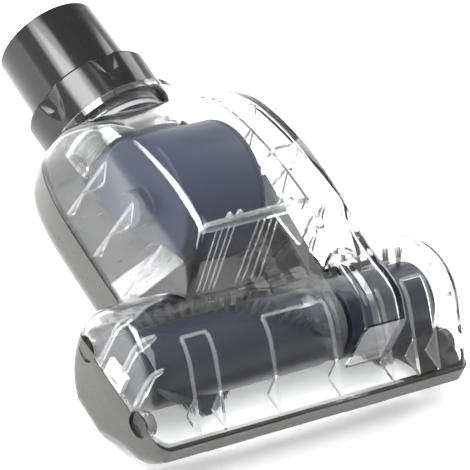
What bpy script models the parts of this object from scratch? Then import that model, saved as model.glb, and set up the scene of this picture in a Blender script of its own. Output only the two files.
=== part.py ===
"""Mini turbo brush for a vacuum cleaner, with a clear hood over the works.

Metres, +Z up. The brush stands on the floor at Z = 0, its roller lies along X,
the mouth faces -Y and the swivel neck leaves at +Y. Lengths below are in
millimetres times MM. Shapes are first made in the shop frame, where the front
edge of the seam is at y = 0, and one parent empty carries them all to the
middle of the footprint.
"""
import math

import bpy
import bmesh
import numpy as np
from mathutils import Matrix, Vector

MM = 0.001

# Walls and clearances
HOOD_WALL = 1.9 * MM
BASE_WALL = 2.2 * MM
REST_GAP = 0.3 * MM
RUN_GAP = 0.35 * MM
RIB = 1.4 * MM

# Front barrel, which holds the roller
SEAM_Z = 21.5 * MM
BARREL_LENGTH = 142.4 * MM
BARREL_RADIUS = 24.0 * MM
BARREL_BOW = 3.4 * MM
BARREL_FILLET = 5.0 * MM
SOLE_FILLET = 4.5 * MM
ROLLER_Y = 34.0 * MM
ROLLER_Z = 22.0 * MM

# Rear body, which holds the turbine
REAR_FLOOR = 3.5 * MM
REAR_EDGE = 6.0 * MM
REAR_KEEL = 9.0 * MM

# Belt channel: the raised strip on the hood
CHANNEL_LEFT = 15.3 * MM
CHANNEL_WIDTH = 15.0 * MM
CHANNEL_FRONT = 8.0 * MM

# Swivel neck, along an axis that climbs to the rear
NECK_Y = 135.7 * MM
NECK_Z = 24.0 * MM
NECK_TILT = math.radians(3.0)
NECK_REACH = 45.1 * MM
NECK_INSIDE = 12.0 * MM
TUBE_RADIUS = 19.8 * MM
TUBE_WALL = 2.1 * MM
SOCKET_DEPTH = 15.5 * MM
SOCKET_BORE = TUBE_RADIUS + 0.5 * MM
SOCKET_RADIUS = SOCKET_BORE + 1.5 * MM
BEAD_RADIUS = TUBE_RADIUS + 0.8 * MM
BEAD_FRONT = -9.0 * MM
BEAD_BACK = -7.6 * MM
FLANGE_RADIUS = SOCKET_RADIUS + 5.1 * MM
FLANGE_THICK = 2.6 * MM
COLLAR_WALL = 3.9 * MM
COLLAR_RADIUS = TUBE_RADIUS + COLLAR_WALL
COLLAR_FLARE = 0.8 * MM
COLLAR_LENGTH = 16.7 * MM
COLLAR_SCOOPS = 6

# Brush roller
END_ROOM = 3.3 * MM
TIP_ROOM = 1.2 * MM
TUFT_REACH = 6.9 * MM
ROLLER_RADIUS = BARREL_RADIUS - HOOD_WALL - TIP_ROOM - TUFT_REACH
ROLLER_HALF = BARREL_LENGTH / 2 - HOOD_WALL - END_ROOM
TUFT_WIDTH = 2.6 * MM
TUFT_MARGIN = 5.2 * MM
TUFT_PITCH = 164.0 * MM
TUFT_START = math.radians(108.0)
PIN_RADIUS = 1.9 * MM
BUSH_RADIUS = 4.6 * MM
BUSH_LENGTH = 5.0 * MM
BLOCK_THICK = 1.8 * MM
BLOCK_SIZE = 10.0 * MM

# Belt drive
BELT_X = 22.8 * MM
BELT_WIDTH = 6.0 * MM
BELT_THICK = 1.1 * MM
BELT_TOOTH = 0.7 * MM
BELT_TEETH = 44
LARGE_PULLEY = 11.0 * MM
PULLEY_WIDTH = 8.4 * MM
GROOVE_DEPTH = 0.8 * MM
SMALL_TEETH = 12
LARGE_TEETH = 24
SMALL_PULLEY = LARGE_PULLEY * SMALL_TEETH / LARGE_TEETH

# Turbine
TURBINE_Y = 89.5 * MM
TURBINE_Z = 37.9 * MM
DRUM_ROOF = SEAM_Z + 42.5 * MM - HOOD_WALL
DRUM_RADIUS = DRUM_ROOF - TURBINE_Z
DRUM_WALL = 1.8 * MM
DRUM_LEFT = -24.2 * MM
DRUM_RIGHT = 11.1 * MM
WHEEL_RADIUS = DRUM_RADIUS - DRUM_WALL - 1.9 * MM
WHEEL_HUB = 6.0 * MM
WHEEL_BLADES = 12
WHEEL_DISC = 1.2 * MM
SHAFT_RADIUS = 2.0 * MM
BEARING_RADIUS = 5.0 * MM
BEARING_LENGTH = 4.0 * MM

# Small wheels under the rear body
CASTER_RADIUS = 6.0 * MM
CASTER_WIDTH = 6.5 * MM
CASTER_X = 24.0 * MM
CASTER_Y = 108.0 * MM
CASTER_PIN = 1.5 * MM

# Clips at the ends of the seam
CLIP_Y = (14.2 * MM, 49.4 * MM)
CLIP_LENGTH = 9.5 * MM
CLIP_DROP = 5.6 * MM

MOUTH_HALF = ROLLER_HALF - 3.5 * MM
MOUTH_FRONT = 9.0 * MM
MOUTH_BACK = 51.0 * MM

FOOTPRINT_FRONT = -0.3 * MM
NECK_AXIS = Vector((0.0, math.cos(NECK_TILT), math.sin(NECK_TILT)))
NECK_BASE = Vector((0.0, NECK_Y, NECK_Z))
FOOTPRINT_BACK = NECK_Y + NECK_REACH * NECK_AXIS.y + TUBE_RADIUS * NECK_AXIS.z
ORIGIN_Y = (FOOTPRINT_FRONT + FOOTPRINT_BACK) / 2


def clear_scene():
    """Remove whatever the file opened with."""
    for old in list(bpy.data.objects):
        bpy.data.objects.remove(old, do_unlink=True)


def finish(name, colour, roughness, metallic=0.0, alpha=1.0):
    """A Principled material for one kind of piece."""
    material = bpy.data.materials.new(name)
    material.use_nodes = True
    shader = material.node_tree.nodes["Principled BSDF"]
    shader.inputs["Base Color"].default_value = (*colour, 1.0)
    shader.inputs["Roughness"].default_value = roughness
    shader.inputs["Metallic"].default_value = metallic
    shader.inputs["Alpha"].default_value = alpha
    return material


def finishes():
    """Every finish of the brush, by plain name."""
    return {
        "black": finish("black_gloss_plastic", (0.012, 0.012, 0.013), 0.22),
        "inner": finish("dark_blue_black_plastic", (0.020, 0.024, 0.034), 0.35),
        "clear": finish("clear_plastic", (0.90, 0.91, 0.93), 0.06, alpha=0.3),
        "bristle": finish("black_bristle", (0.015, 0.015, 0.017), 0.6),
        "rubber": finish("black_rubber", (0.018, 0.018, 0.018), 0.8),
        "steel": finish("steel", (0.62, 0.62, 0.63), 0.3, 1.0),
        "bronze": finish("sintered_bronze", (0.45, 0.31, 0.17), 0.45, 1.0),
        "white": finish("white_plastic", (0.75, 0.75, 0.73), 0.4),
        "felt": finish("grey_felt", (0.20, 0.20, 0.21), 0.95),
    }


def mesh_object(name, points, faces):
    """A mesh object from points in the shop frame, in triangles turned outwards."""
    mesh = bpy.data.meshes.new(name)
    mesh.from_pydata([tuple(p) for p in points], [], faces)
    work = bmesh.new()
    work.from_mesh(mesh)
    bmesh.ops.remove_doubles(work, verts=work.verts, dist=1e-6)
    bmesh.ops.recalc_face_normals(work, faces=work.faces)
    bmesh.ops.triangulate(work, faces=work.faces)
    work.to_mesh(mesh)
    work.free()
    obj = bpy.data.objects.new(name, mesh)
    bpy.context.collection.objects.link(obj)
    return obj


def loft(name, rings):
    """A closed solid through rings of equally many points, capped at both ends."""
    count = len(rings[0])
    points = [p for ring in rings for p in ring]
    faces = []
    for level in range(len(rings) - 1):
        for i in range(count):
            j = (i + 1) % count
            low, high = level * count, (level + 1) * count
            faces.append((low + i, low + j, high + j, high + i))
    faces.append(tuple(reversed(range(count))))
    last = (len(rings) - 1) * count
    faces.append(tuple(range(last, last + count)))
    return mesh_object(name, points, faces)


def prism_x(name, outline, left, right):
    """A prism along X of an outline in (y, z)."""
    rings = [[(x, y, z) for y, z in outline] for x in (left, right)]
    return loft(name, rings)


def prism_y(name, outline, front, back):
    """A prism along Y of an outline in (x, z)."""
    rings = [[(x, y, z) for x, z in outline] for y in (front, back)]
    return loft(name, rings)


def block(name, low, high):
    """A box between two corners."""
    outline = [(low[1], low[2]), (high[1], low[2]), (high[1], high[2]), (low[1], high[2])]
    return prism_x(name, outline, low[0], high[0])


def turned(name, profile, centre, axis, segments=48):
    """A closed profile of (along, radius) turned about an axis; a solid ring or disc."""
    axis = Vector(axis).normalized()
    side = axis.orthogonal().normalized() if abs(axis.x) > 0.9 else Vector((1.0, 0.0, 0.0))
    other = axis.cross(side)
    solid = min(radius for _, radius in profile) < 1e-7
    points = []
    for step in range(segments):
        angle = 2 * math.pi * step / segments
        ray = side * math.cos(angle) + other * math.sin(angle)
        points += [centre + axis * along + ray * radius for along, radius in profile]
    count = len(profile)
    faces = []
    for step in range(segments):
        here, after = step * count, ((step + 1) % segments) * count
        for i in range(count if not solid else count - 1):
            j = (i + 1) % count
            faces.append((here + i, here + j, after + j, after + i))
    mesh = bpy.data.meshes.new(name)
    mesh.from_pydata([tuple(p) for p in points], [], faces)
    work = bmesh.new()
    work.from_mesh(mesh)
    bmesh.ops.remove_doubles(work, verts=work.verts, dist=1e-7)
    bmesh.ops.dissolve_degenerate(work, edges=work.edges, dist=1e-8)
    bmesh.ops.recalc_face_normals(work, faces=work.faces)
    work.to_mesh(mesh)
    work.free()
    obj = bpy.data.objects.new(name, mesh)
    bpy.context.collection.objects.link(obj)
    return obj


def rod_x(name, centre, radius, left, right, segments=32):
    """A plain rod along X about (y, z)."""
    profile = [(left, 0.0), (left, radius), (right, radius), (right, 0.0)]
    return turned(name, profile, Vector((0.0, centre[0], centre[1])), (1, 0, 0), segments)


def measure(mesh):
    """Whether a mesh is one closed surface, and its volume."""
    work = bmesh.new()
    work.from_mesh(mesh)
    closed = bool(work.faces) and all(edge.is_manifold for edge in work.edges)
    volume = work.calc_volume(signed=True)
    work.free()
    return closed, volume


def cut_once(target, tool, operation, solver):
    """The mesh left by one join or cut with the solver named."""
    modifier = target.modifiers.new("shape", "BOOLEAN")
    modifier.operation = operation
    modifier.solver = solver
    modifier.object = tool
    bpy.context.view_layer.update()
    graph = bpy.context.evaluated_depsgraph_get()
    mesh = bpy.data.meshes.new_from_object(target.evaluated_get(graph))
    target.modifiers.clear()
    work = bmesh.new()
    work.from_mesh(mesh)
    bmesh.ops.remove_doubles(work, verts=work.verts, dist=1e-6)
    bmesh.ops.dissolve_degenerate(work, edges=work.edges, dist=1e-6)
    work.to_mesh(mesh)
    work.free()
    return mesh


def combine(target, tools, operation):
    """Join tools to the target, or cut them from it, and drop the tools.

    The exact solver comes first; where it leaves an open surface, or a volume
    that the two solids can't give, the manifold solver takes its place.
    """
    for tool in tools:
        before = measure(target.data)[1]
        share = measure(tool.data)[1]
        for solver in ("EXACT", "MANIFOLD"):
            mesh = cut_once(target, tool, operation, solver)
            closed, volume = measure(mesh)
            low, high = (before - share, before) if operation == "DIFFERENCE" else (before, before + share)
            if closed and volume > 0.0 and low * 0.9999 <= volume <= high * 1.0001:
                break
        target.data = mesh
        bpy.data.objects.remove(tool, do_unlink=True)
    return target


def merge_solids(name, solids):
    """Put several closed bodies in one mesh, as one tool for a cut."""
    work = bmesh.new()
    for solid in solids:
        work.from_mesh(solid.data)
    mesh = bpy.data.meshes.new(name)
    work.to_mesh(mesh)
    work.free()
    for solid in solids:
        bpy.data.objects.remove(solid, do_unlink=True)
    obj = bpy.data.objects.new(name, mesh)
    bpy.context.collection.objects.link(obj)
    return obj


def dress(obj, material, root, angle=32.0, axis_point=None):
    """Give a finish, smooth the round faces, set the origin and hang it on the root."""
    mesh = obj.data
    mesh.materials.clear()
    mesh.materials.append(material)
    work = bmesh.new()
    work.from_mesh(mesh)
    bmesh.ops.remove_doubles(work, verts=work.verts, dist=2e-6)
    bmesh.ops.dissolve_degenerate(work, edges=work.edges, dist=1e-6)
    work.to_mesh(mesh)
    work.free()
    mesh.shade_smooth()
    mesh.set_sharp_from_angle(angle=math.radians(angle))
    if axis_point is not None:
        mesh.transform(Matrix.Translation(-Vector(axis_point)))
        obj.location = axis_point
    obj.parent = root
    return obj


def arc(centre, radius, start, stop, steps):
    """Points on an arc in a plane, from start to stop in radians."""
    angles = np.linspace(start, stop, steps)
    return [(centre[0] + radius * math.cos(a), centre[1] + radius * math.sin(a)) for a in angles]


def barrel_top(inset, low, steps=15):
    """Hood section over the roller: a straight front flank, tangent to an arc, in (y, z)."""
    radius = BARREL_RADIUS - inset
    nose = (1.35 * inset, SEAM_Z)
    span = math.hypot(ROLLER_Y - nose[0], ROLLER_Z - nose[1])
    slope = math.atan2(ROLLER_Z - nose[1], ROLLER_Y - nose[0]) + math.asin(radius / span)
    curve = arc((ROLLER_Y, ROLLER_Z), radius, slope + math.pi / 2, 0.0, steps)
    return [(nose[0], low), nose] + curve + [(ROLLER_Y + radius, low)]


def barrel_bottom(inset, high, steps=9):
    """Base section under the roller: the nose, the sole and the arc behind, in (y, z)."""
    radius = BARREL_RADIUS - inset
    slope = inset * 0.8
    nose = [(inset, high), (-0.3 * MM + inset, 16.0 * MM), (4.5 * MM + slope, 9.5 * MM + slope),
            (9.5 * MM + slope * 0.6, 6.6 * MM + inset), (15.0 * MM, 6.2 * MM + inset),
            (23.0 * MM, 3.0 * MM + inset), (28.0 * MM, inset)]
    lift = ROLLER_Z - inset
    start = -math.acos(min(1.0, (ROLLER_Z - inset) / radius)) if lift < radius else 0.0
    start = -math.pi / 2 + abs(start)
    curve = arc((ROLLER_Y, ROLLER_Z), radius, start, -0.02, steps)
    return nose + curve + [(ROLLER_Y + radius, high)]


def bowed(ring_x, outline, half):
    """A ring at x whose points follow the bow of the barrel's end in plan."""
    side = 1.0 if ring_x > 0 else -1.0
    blend = max(0.0, (abs(ring_x) - (half - 16 * MM)) / (16 * MM))
    ring = []
    for y, z in outline:
        across = (y - 22 * MM) / (36 * MM)
        ring.append((ring_x - side * BARREL_BOW * across * across * blend, y, z))
    return ring


def barrel(name, section, half, fillet, inset, edge):
    """The barrel along X with rounded and domed ends; section(inset, edge) gives a ring."""
    steps = 4
    stations = []
    for k in range(steps + 1):
        turn = math.pi / 2 * k / steps
        stations.append((half - fillet + fillet * math.sin(turn), fillet * (1 - math.cos(turn))))
    last = section(inset + fillet, edge)
    hub = np.array((ROLLER_Y, (min(p[1] for p in last) + max(p[1] for p in last)) / 2))
    caps = [[tuple(hub + share * (np.array(p) - hub)) for p in last] for share in (0.25, 0.65)]
    rings = [bowed(-half, cap, half) for cap in caps]
    rings += [bowed(-x, section(inset + drop, edge), half) for x, drop in reversed(stations)]
    rings.append(bowed(-(half - 16 * MM), section(inset, edge), half))
    rings.append(bowed(half - 16 * MM, section(inset, edge), half))
    rings += [bowed(x, section(inset + drop, edge), half) for x, drop in stations]
    rings += [bowed(half, cap, half) for cap in reversed(caps)]
    return loft(name, rings)


# Top line of the rear body along y, height over the seam
REAR_TOP = [(36, 16), (42, 24), (55.5, 42), (58, 43), (68, 43.6), (78, 43.8), (92, 42.6),
            (104, 40.6), (110.5, 37.3), (116, 33.8), (121, 29.8), (125, 25.5), (128.5, 21),
            (132, 15.5), (135, 9.5), (137, 4)]
# Ribs inside the front flank as shares of the half length, and the pairs that a low bar joins
NOSE_RIBS = (-0.739, -0.581, -0.235, 0.152, 0.496, 0.660, 0.798)
NOSE_LINKS = ((0, 1), (2, 3), (5, 6))
# Half width of the rear body at the seam along y
REAR_PLAN = [(34, 46.4), (65, 45.5), (94, 43.4), (110.5, 41.7), (121, 39.0), (129.6, 35.5),
             (134, 31.0), (137, 26.0)]
# Top line of the belt channel along y, height over the seam
CHANNEL_TOP = [(8, 28.3), (14, 34.6), (21, 36.9), (32, 37.3), (42, 39.2), (55, 42.8), (68, 44.5),
               (80, 44.9), (92, 43.7), (104, 41.4), (112, 37.6), (119, 32.4)]


def lookup(table, at):
    """Read a table of millimetre pairs at a length, between its points."""
    keys = [key * MM for key, _ in table]
    values = [value * MM for _, value in table]
    return float(np.interp(at, keys, values))


def inset_line(table, inset):
    """A top line in (y, z) moved inwards by inset, square to itself."""
    line = np.array([(y * MM, SEAM_Z + z * MM) for y, z in table])
    along = np.gradient(line, axis=0)
    along /= np.linalg.norm(along, axis=1)[:, None]
    return line + inset * np.stack([along[:, 1], -along[:, 0]], axis=1)


def lean(height):
    """How far the rear body's side has moved in at a height over the seam."""
    shoulder, crown = 29 * MM, 42 * MM
    low = 7.8 * MM * min(height, shoulder) / shoulder
    high = 6.5 * MM * max(0.0, height - shoulder) / (crown - shoulder)
    return low + high


def rear_top(name, inset, low):
    """Upper part of the rear body: lofted along y, with leaning sides and a rounded edge."""
    rings = []
    for y, top in inset_line(REAR_TOP, inset):
        half = lookup(REAR_PLAN, y) - inset
        edge = min(REAR_EDGE - inset * 0.6, 0.45 * (top - SEAM_Z))
        side = []
        for share in (0.0, 0.34, 0.68, 1.0):
            height = share * (top - edge - SEAM_Z)
            side.append((half - lean(height), SEAM_Z + height))
        reach = half - lean(top - edge - SEAM_Z)
        for turn in (30, 60, 90):
            a = math.radians(turn)
            side.append((reach - edge + edge * math.cos(a), top - edge + edge * math.sin(a)))
        right = [(x, y, z) for x, z in side]
        left = [(-x, y, z) for x, z in reversed(side)]
        crown = [(0.0, y, top + 0.5 * MM)]
        rings.append([(half, y, low)] + right + crown + left + [(-half, y, low)])
    return loft(name, rings)


def rear_bottom(name, inset, front, back, high):
    """Lower part of the rear body: straight sides with a rounded keel edge."""
    rings = []
    inner = [stop * MM for stop in (70, 94, 110.5, 121, 129.6, 134) if front < stop * MM < back]
    for y in [front, *inner, back]:
        half = lookup(REAR_PLAN, y) - inset
        floor = REAR_FLOOR + inset + 9 * MM * max(0.0, (y - 122 * MM) / (15 * MM)) ** 2
        edge = REAR_KEEL - inset
        side = [(half, high)]
        side += [(half - edge + edge * math.cos(a), floor + edge - edge * math.sin(a))
                 for a in np.radians((0, 30, 60, 90))]
        right = [(x, y, z) for x, z in side]
        left = [(-x, y, z) for x, z in reversed(side)]
        rings.append(right + left)
    return loft(name, rings)


def channel(name, inset, low):
    """Belt channel over the rear body and the barrel, with softened upper edges."""
    edge = 1.2 * MM
    left, right = CHANNEL_LEFT + inset, CHANNEL_LEFT + CHANNEL_WIDTH - inset
    rings = []
    for x, drop in ((left, edge), (left + edge, 0.0), (right - edge, 0.0), (right, edge)):
        top = inset_line(CHANNEL_TOP, inset + drop)
        front = CHANNEL_FRONT + inset
        line = [(max(front, y), z) for y, z in top]
        outline = [(line[-1][0], low), (front, low), (front, line[0][1] - 1.0 * MM)] + line
        rings.append([(x, y, z) for y, z in outline])
    return loft(name, rings)


def socket(name, radius, front, back, segments=48):
    """A solid round bar on the neck's axis, between two stations along it."""
    profile = [(front, 0.0), (front, radius), (back, radius), (back, 0.0)]
    return turned(name, profile, NECK_BASE, NECK_AXIS, segments)


def socket_bore():
    """Cutter for the neck socket: the bore, with a groove for the tube's bead."""
    front = -SOCKET_DEPTH + 1.6 * MM
    groove = BEAD_RADIUS + REST_GAP
    profile = [(front, 0.0), (front, SOCKET_BORE), (BEAD_FRONT - REST_GAP, SOCKET_BORE),
               (BEAD_FRONT - REST_GAP, groove), (BEAD_BACK + REST_GAP, groove),
               (BEAD_BACK + REST_GAP, SOCKET_BORE), (10 * MM, SOCKET_BORE), (10 * MM, 0.0)]
    return turned("bore", profile, NECK_BASE, NECK_AXIS, 48)


def end_rib(name, side, y):
    """A gusset up the end wall of the hood, widening to a tab over the roller's end."""
    wall = BARREL_LENGTH / 2 - HOOD_WALL
    low = SEAM_Z + 0.8 * MM
    if abs(y - ROLLER_Y) < BLOCK_SIZE / 2 + RIB:
        low = ROLLER_Z + BLOCK_SIZE / 2 + 1.0 * MM
    inner = [(ROLLER_HALF + 2.5 * REST_GAP, low), (ROLLER_HALF + 2.5 * REST_GAP, ROLLER_Z + 15 * MM),
             (wall - 6.0 * MM, ROLLER_Z + 18 * MM), (wall - 7.6 * MM, ROLLER_Z + 21 * MM),
             (wall - 7.6 * MM, ROLLER_Z + 27 * MM)]
    outline = inner + [(wall + 2 * MM, ROLLER_Z + 27 * MM), (wall + 2 * MM, low)]
    return prism_y(name, [(side * x, z) for x, z in outline], y - RIB / 2, y + RIB / 2)


def nose_rib(name, x):
    """A rib along the inside of the front flank, deepened to a gusset at the nose."""
    inner = BARREL_RADIUS - HOOD_WALL
    top = math.radians(106)
    flank = barrel_top(HOOD_WALL - 0.3 * MM, SEAM_Z + 0.6 * MM)[1:3]
    tangent = math.atan2(flank[1][1] - ROLLER_Z, flank[1][0] - ROLLER_Y)
    outer = arc((ROLLER_Y, ROLLER_Z), inner + 0.3 * MM, tangent, top, 5)[1:]
    shallow = arc((ROLLER_Y, ROLLER_Z), inner - 0.5 * MM, top, tangent, 5)
    foot = [(12.0 * MM, SEAM_Z + 9.5 * MM), (11.4 * MM, SEAM_Z + 0.6 * MM)]
    return prism_x(name, flank + outer + shallow + foot, x - RIB / 2, x + RIB / 2)


def nose_link(name, left, right):
    """A low rib along X that joins the upper ends of two nose ribs."""
    inner = BARREL_RADIUS - HOOD_WALL
    low, high = math.radians(102.5), math.radians(106)
    outline = arc((ROLLER_Y, ROLLER_Z), inner + 0.3 * MM, low, high, 2)
    outline += arc((ROLLER_Y, ROLLER_Z), inner - 0.5 * MM, high, low, 2)
    return prism_x(name, outline, left, right)


def side_rib(name, side, y):
    """A rib up the side wall of the rear body."""
    half = lookup(REAR_PLAN, y)
    outer, inner = side * half, side * (half - HOOD_WALL - 4.5 * MM)
    drift = side * lean(38 * MM)
    low, high = SEAM_Z + 1.0 * MM, SEAM_Z + 38 * MM
    outline = [(outer, low), (inner, low), (inner - drift, high), (outer - drift, high)]
    return prism_y(name, outline, y - RIB / 2, y + RIB / 2)


def hood_ribs():
    """Every stiffening rib inside the hood."""
    ribs = []
    for side in (-1, 1):
        for row, y in enumerate((20.2 * MM, 31.2 * MM, 42.5 * MM)):
            ribs.append(end_rib(f"end_rib_{side}_{row}", side, y))
        for row, y in enumerate((64.5 * MM, 85.0 * MM, 105.0 * MM)):
            ribs.append(side_rib(f"side_rib_{side}_{row}", side, y))
    for row, x in enumerate(NOSE_RIBS):
        ribs.append(nose_rib(f"nose_rib_{row}", x * BARREL_LENGTH / 2))
    for first, last in NOSE_LINKS:
        ribs.append(nose_link(f"nose_link_{first}", NOSE_RIBS[first] * BARREL_LENGTH / 2,
                              NOSE_RIBS[last] * BARREL_LENGTH / 2))
    top = SEAM_Z + 46 * MM
    left = -30 * MM
    right = CHANNEL_LEFT + CHANNEL_WIDTH
    cross_low = SEAM_Z + 37.0 * MM
    ribs.append(block("cross_rib", (left, 57.0 * MM, cross_low),
                      (CHANNEL_LEFT + HOOD_WALL, 57.0 * MM + RIB, top)))
    for bump in (-18.2, -13.7, 4.8, 9.3):
        ribs.append(block("cross_bump", (bump * MM, 56.0 * MM, cross_low + 1 * MM),
                          ((bump + 2.2) * MM, 60.0 * MM, top)))
    wall_low = TURBINE_Z + BEARING_RADIUS + 3.0 * MM
    ribs.append(block("channel_wall", (CHANNEL_LEFT, 52 * MM, wall_low),
                      (CHANNEL_LEFT + RIB, 117 * MM, top)))
    for row, y in enumerate((80.0, 104.0)):
        ribs.append(block(f"channel_rib_{row}", (CHANNEL_LEFT, y * MM, wall_low + 6 * MM),
                          (right, y * MM + RIB, top)))
    for pair in (-20.2, -15.7, -0.2, 4.3):
        outline = [(53.6 * MM, SEAM_Z + 13.0 * MM), (55.0 * MM, SEAM_Z + 13.0 * MM),
                   (56.2 * MM, SEAM_Z + 38.6 * MM), (56.2 * MM, SEAM_Z + 46 * MM),
                   (38.0 * MM, SEAM_Z + 26 * MM), (44.4 * MM, SEAM_Z + 22.4 * MM)]
        ribs.append(prism_x("flute", outline, pair * MM, (pair + 1.0) * MM))
        ribs.append(prism_x("flute", outline, (pair + 2.0) * MM, (pair + 3.0) * MM))
    return ribs


def make_hood(looks, root):
    """Clear one-piece hood: outer form less its hollow, with ribs kept in the hollow."""
    low = SEAM_Z - 4 * MM
    half = BARREL_LENGTH / 2
    outer = barrel("clear_hood", barrel_top, half, BARREL_FILLET, 0.0, low)
    parts = [rear_top("rear", 0.0, low - 1 * MM), channel("channel", 0.0, low - 2 * MM),
             socket("flange", FLANGE_RADIUS, -FLANGE_THICK, 1 * MM)]
    combine(outer, parts, "UNION")
    deep = low - 5 * MM
    hollow = barrel("hollow", barrel_top, half - HOOD_WALL, BARREL_FILLET - 1.5 * MM, HOOD_WALL, deep)
    hollows = [rear_top("rear_hollow", HOOD_WALL, deep - 1 * MM),
               channel("channel_hollow", HOOD_WALL, deep - 2 * MM)]
    combine(hollow, hollows, "UNION")
    kept = socket("kept", SOCKET_RADIUS + 1.4 * MM, -SOCKET_DEPTH, -FLANGE_THICK / 2)
    combine(hollow, hood_ribs() + [kept], "DIFFERENCE")
    bore = socket_bore()
    under = block("under", (-0.2, -0.1, -0.1), (0.2, 0.3, SEAM_Z + REST_GAP / 2))
    beyond = socket("beyond", 60 * MM, 0.0, 30 * MM)
    combine(outer, [hollow, beyond, bore, under], "DIFFERENCE")
    return dress(outer, looks["clear"], root)


def clip_windows():
    """Cutters for the oval clip windows in both ends of the base."""
    cutters = []
    for side in (-1, 1):
        for y in CLIP_Y:
            outline = arc((y, SEAM_Z - 1.0 * MM), CLIP_LENGTH / 2, 0, 2 * math.pi, 17)[:-1]
            squash = CLIP_DROP / (CLIP_LENGTH / 2)
            outline = [(a, SEAM_Z - 1.0 * MM + (b - SEAM_Z + 1.0 * MM) * squash * 0.75)
                       for a, b in outline]
            near, far = side * (BARREL_LENGTH / 2 - 2.6 * MM), side * (BARREL_LENGTH / 2 + 6 * MM)
            cutters.append(prism_x("window", outline, min(near, far), max(near, far)))
    return cutters


def base_supports():
    """Posts and blocks inside the base that carry the works."""
    posts = []
    for x in (-17.2 * MM, 4.8 * MM):
        cradle = [(78 * MM, REAR_FLOOR + 0.5 * MM), (100 * MM, REAR_FLOOR + 0.5 * MM)]
        cradle += [(TURBINE_Y + a, TURBINE_Z - b) for a, b in
                   [((DRUM_RADIUS + REST_GAP) * math.sin(t), (DRUM_RADIUS + REST_GAP) * math.cos(t))
                    for t in np.radians((26, 14, 0, -14, -26))]]
        posts.append(prism_x("cradle", cradle, x, x + 2.4 * MM))
    for side in (-1, 1):
        inner = side * (ROLLER_HALF + REST_GAP)
        outer = side * (BARREL_LENGTH / 2 + 0.5 * MM)
        left, right = min(inner, outer), max(inner, outer)
        half = BLOCK_SIZE / 2 + 2.2 * MM
        posts.append(block("saddle", (left, ROLLER_Y - half, 1.5 * MM),
                           (right, ROLLER_Y + half, SEAM_Z - 0.5 * MM)))
        centre = side * CASTER_X
        reach = CASTER_WIDTH / 2 + 3.0 * MM
        posts.append(block("caster_box", (centre - reach, CASTER_Y - 9 * MM, REAR_FLOOR + 0.5 * MM),
                           (centre + reach, CASTER_Y + 9 * MM, 15.5 * MM)))
    return posts


def base_cuts():
    """Cutters that open the mouth, the air window, the bearing seats and the wheel wells."""
    cuts = [block("mouth", (-MOUTH_HALF, MOUTH_FRONT, -5 * MM), (MOUTH_HALF, MOUTH_BACK, 13 * MM)),
            block("air_window", (DRUM_LEFT, 50 * MM, 9 * MM), (DRUM_RIGHT, 66 * MM, SEAM_Z + 5 * MM)),
            block("belt_window", (BELT_X - 6 * MM, 50 * MM, 13 * MM),
                  (BELT_X + 6 * MM, 66 * MM, SEAM_Z + 5 * MM)),
            block("above", (-0.2, -0.1, SEAM_Z - REST_GAP / 2), (0.2, 0.3, 0.2))]
    for side in (-1, 1):
        near, far = side * (ROLLER_HALF - 1 * MM), side * (ROLLER_HALF + 2 * REST_GAP + BLOCK_THICK)
        half = BLOCK_SIZE / 2 + REST_GAP
        cuts.append(block("seat", (min(near, far), ROLLER_Y - half, ROLLER_Z - half),
                          (max(near, far), ROLLER_Y + half, SEAM_Z + 5 * MM)))
        centre = side * CASTER_X
        reach = CASTER_WIDTH / 2 + 0.5 * MM
        well = CASTER_RADIUS + 0.8 * MM
        cuts.append(block("well", (centre - reach, CASTER_Y - well, -1 * MM),
                          (centre + reach, CASTER_Y + well, CASTER_RADIUS + well)))
        pin = CASTER_PIN + REST_GAP
        grip = reach + 1.8 * MM
        cuts.append(rod_x("pin_hole", (CASTER_Y, CASTER_RADIUS), pin, centre - grip, centre + grip, 16))
    return cuts


def make_base(looks, root):
    """Black lower casing with the mouth, the bearing seats and half of the neck socket."""
    high = SEAM_Z + 4 * MM
    half = BARREL_LENGTH / 2
    outer = barrel("base_shell", barrel_bottom, half, SOLE_FILLET, 0.0, high)
    parts = [rear_bottom("rear", 0.0, 50 * MM, 137 * MM, high + 1 * MM),
             socket("socket", SOCKET_RADIUS, -SOCKET_DEPTH, 1 * MM)]
    combine(outer, parts, "UNION")
    hollow = barrel("hollow", barrel_bottom, half - BASE_WALL, SOLE_FILLET - BASE_WALL, BASE_WALL,
                    high + 5 * MM)
    rear = rear_bottom("rear_hollow", BASE_WALL, 60.5 * MM, 130.5 * MM, high + 6 * MM)
    hollow = merge_solids("hollow", [hollow, rear])
    kept = socket("kept", SOCKET_RADIUS, -SOCKET_DEPTH, -1.0 * MM)
    combine(hollow, base_supports() + [kept], "DIFFERENCE")
    bore = socket_bore()
    cuts = merge_solids("windows", clip_windows())
    beyond = socket("beyond", 60 * MM, 0.0, 30 * MM)
    combine(outer, [hollow, beyond, bore, cuts] + base_cuts(), "DIFFERENCE")
    return dress(outer, looks["black"], root)


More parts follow.
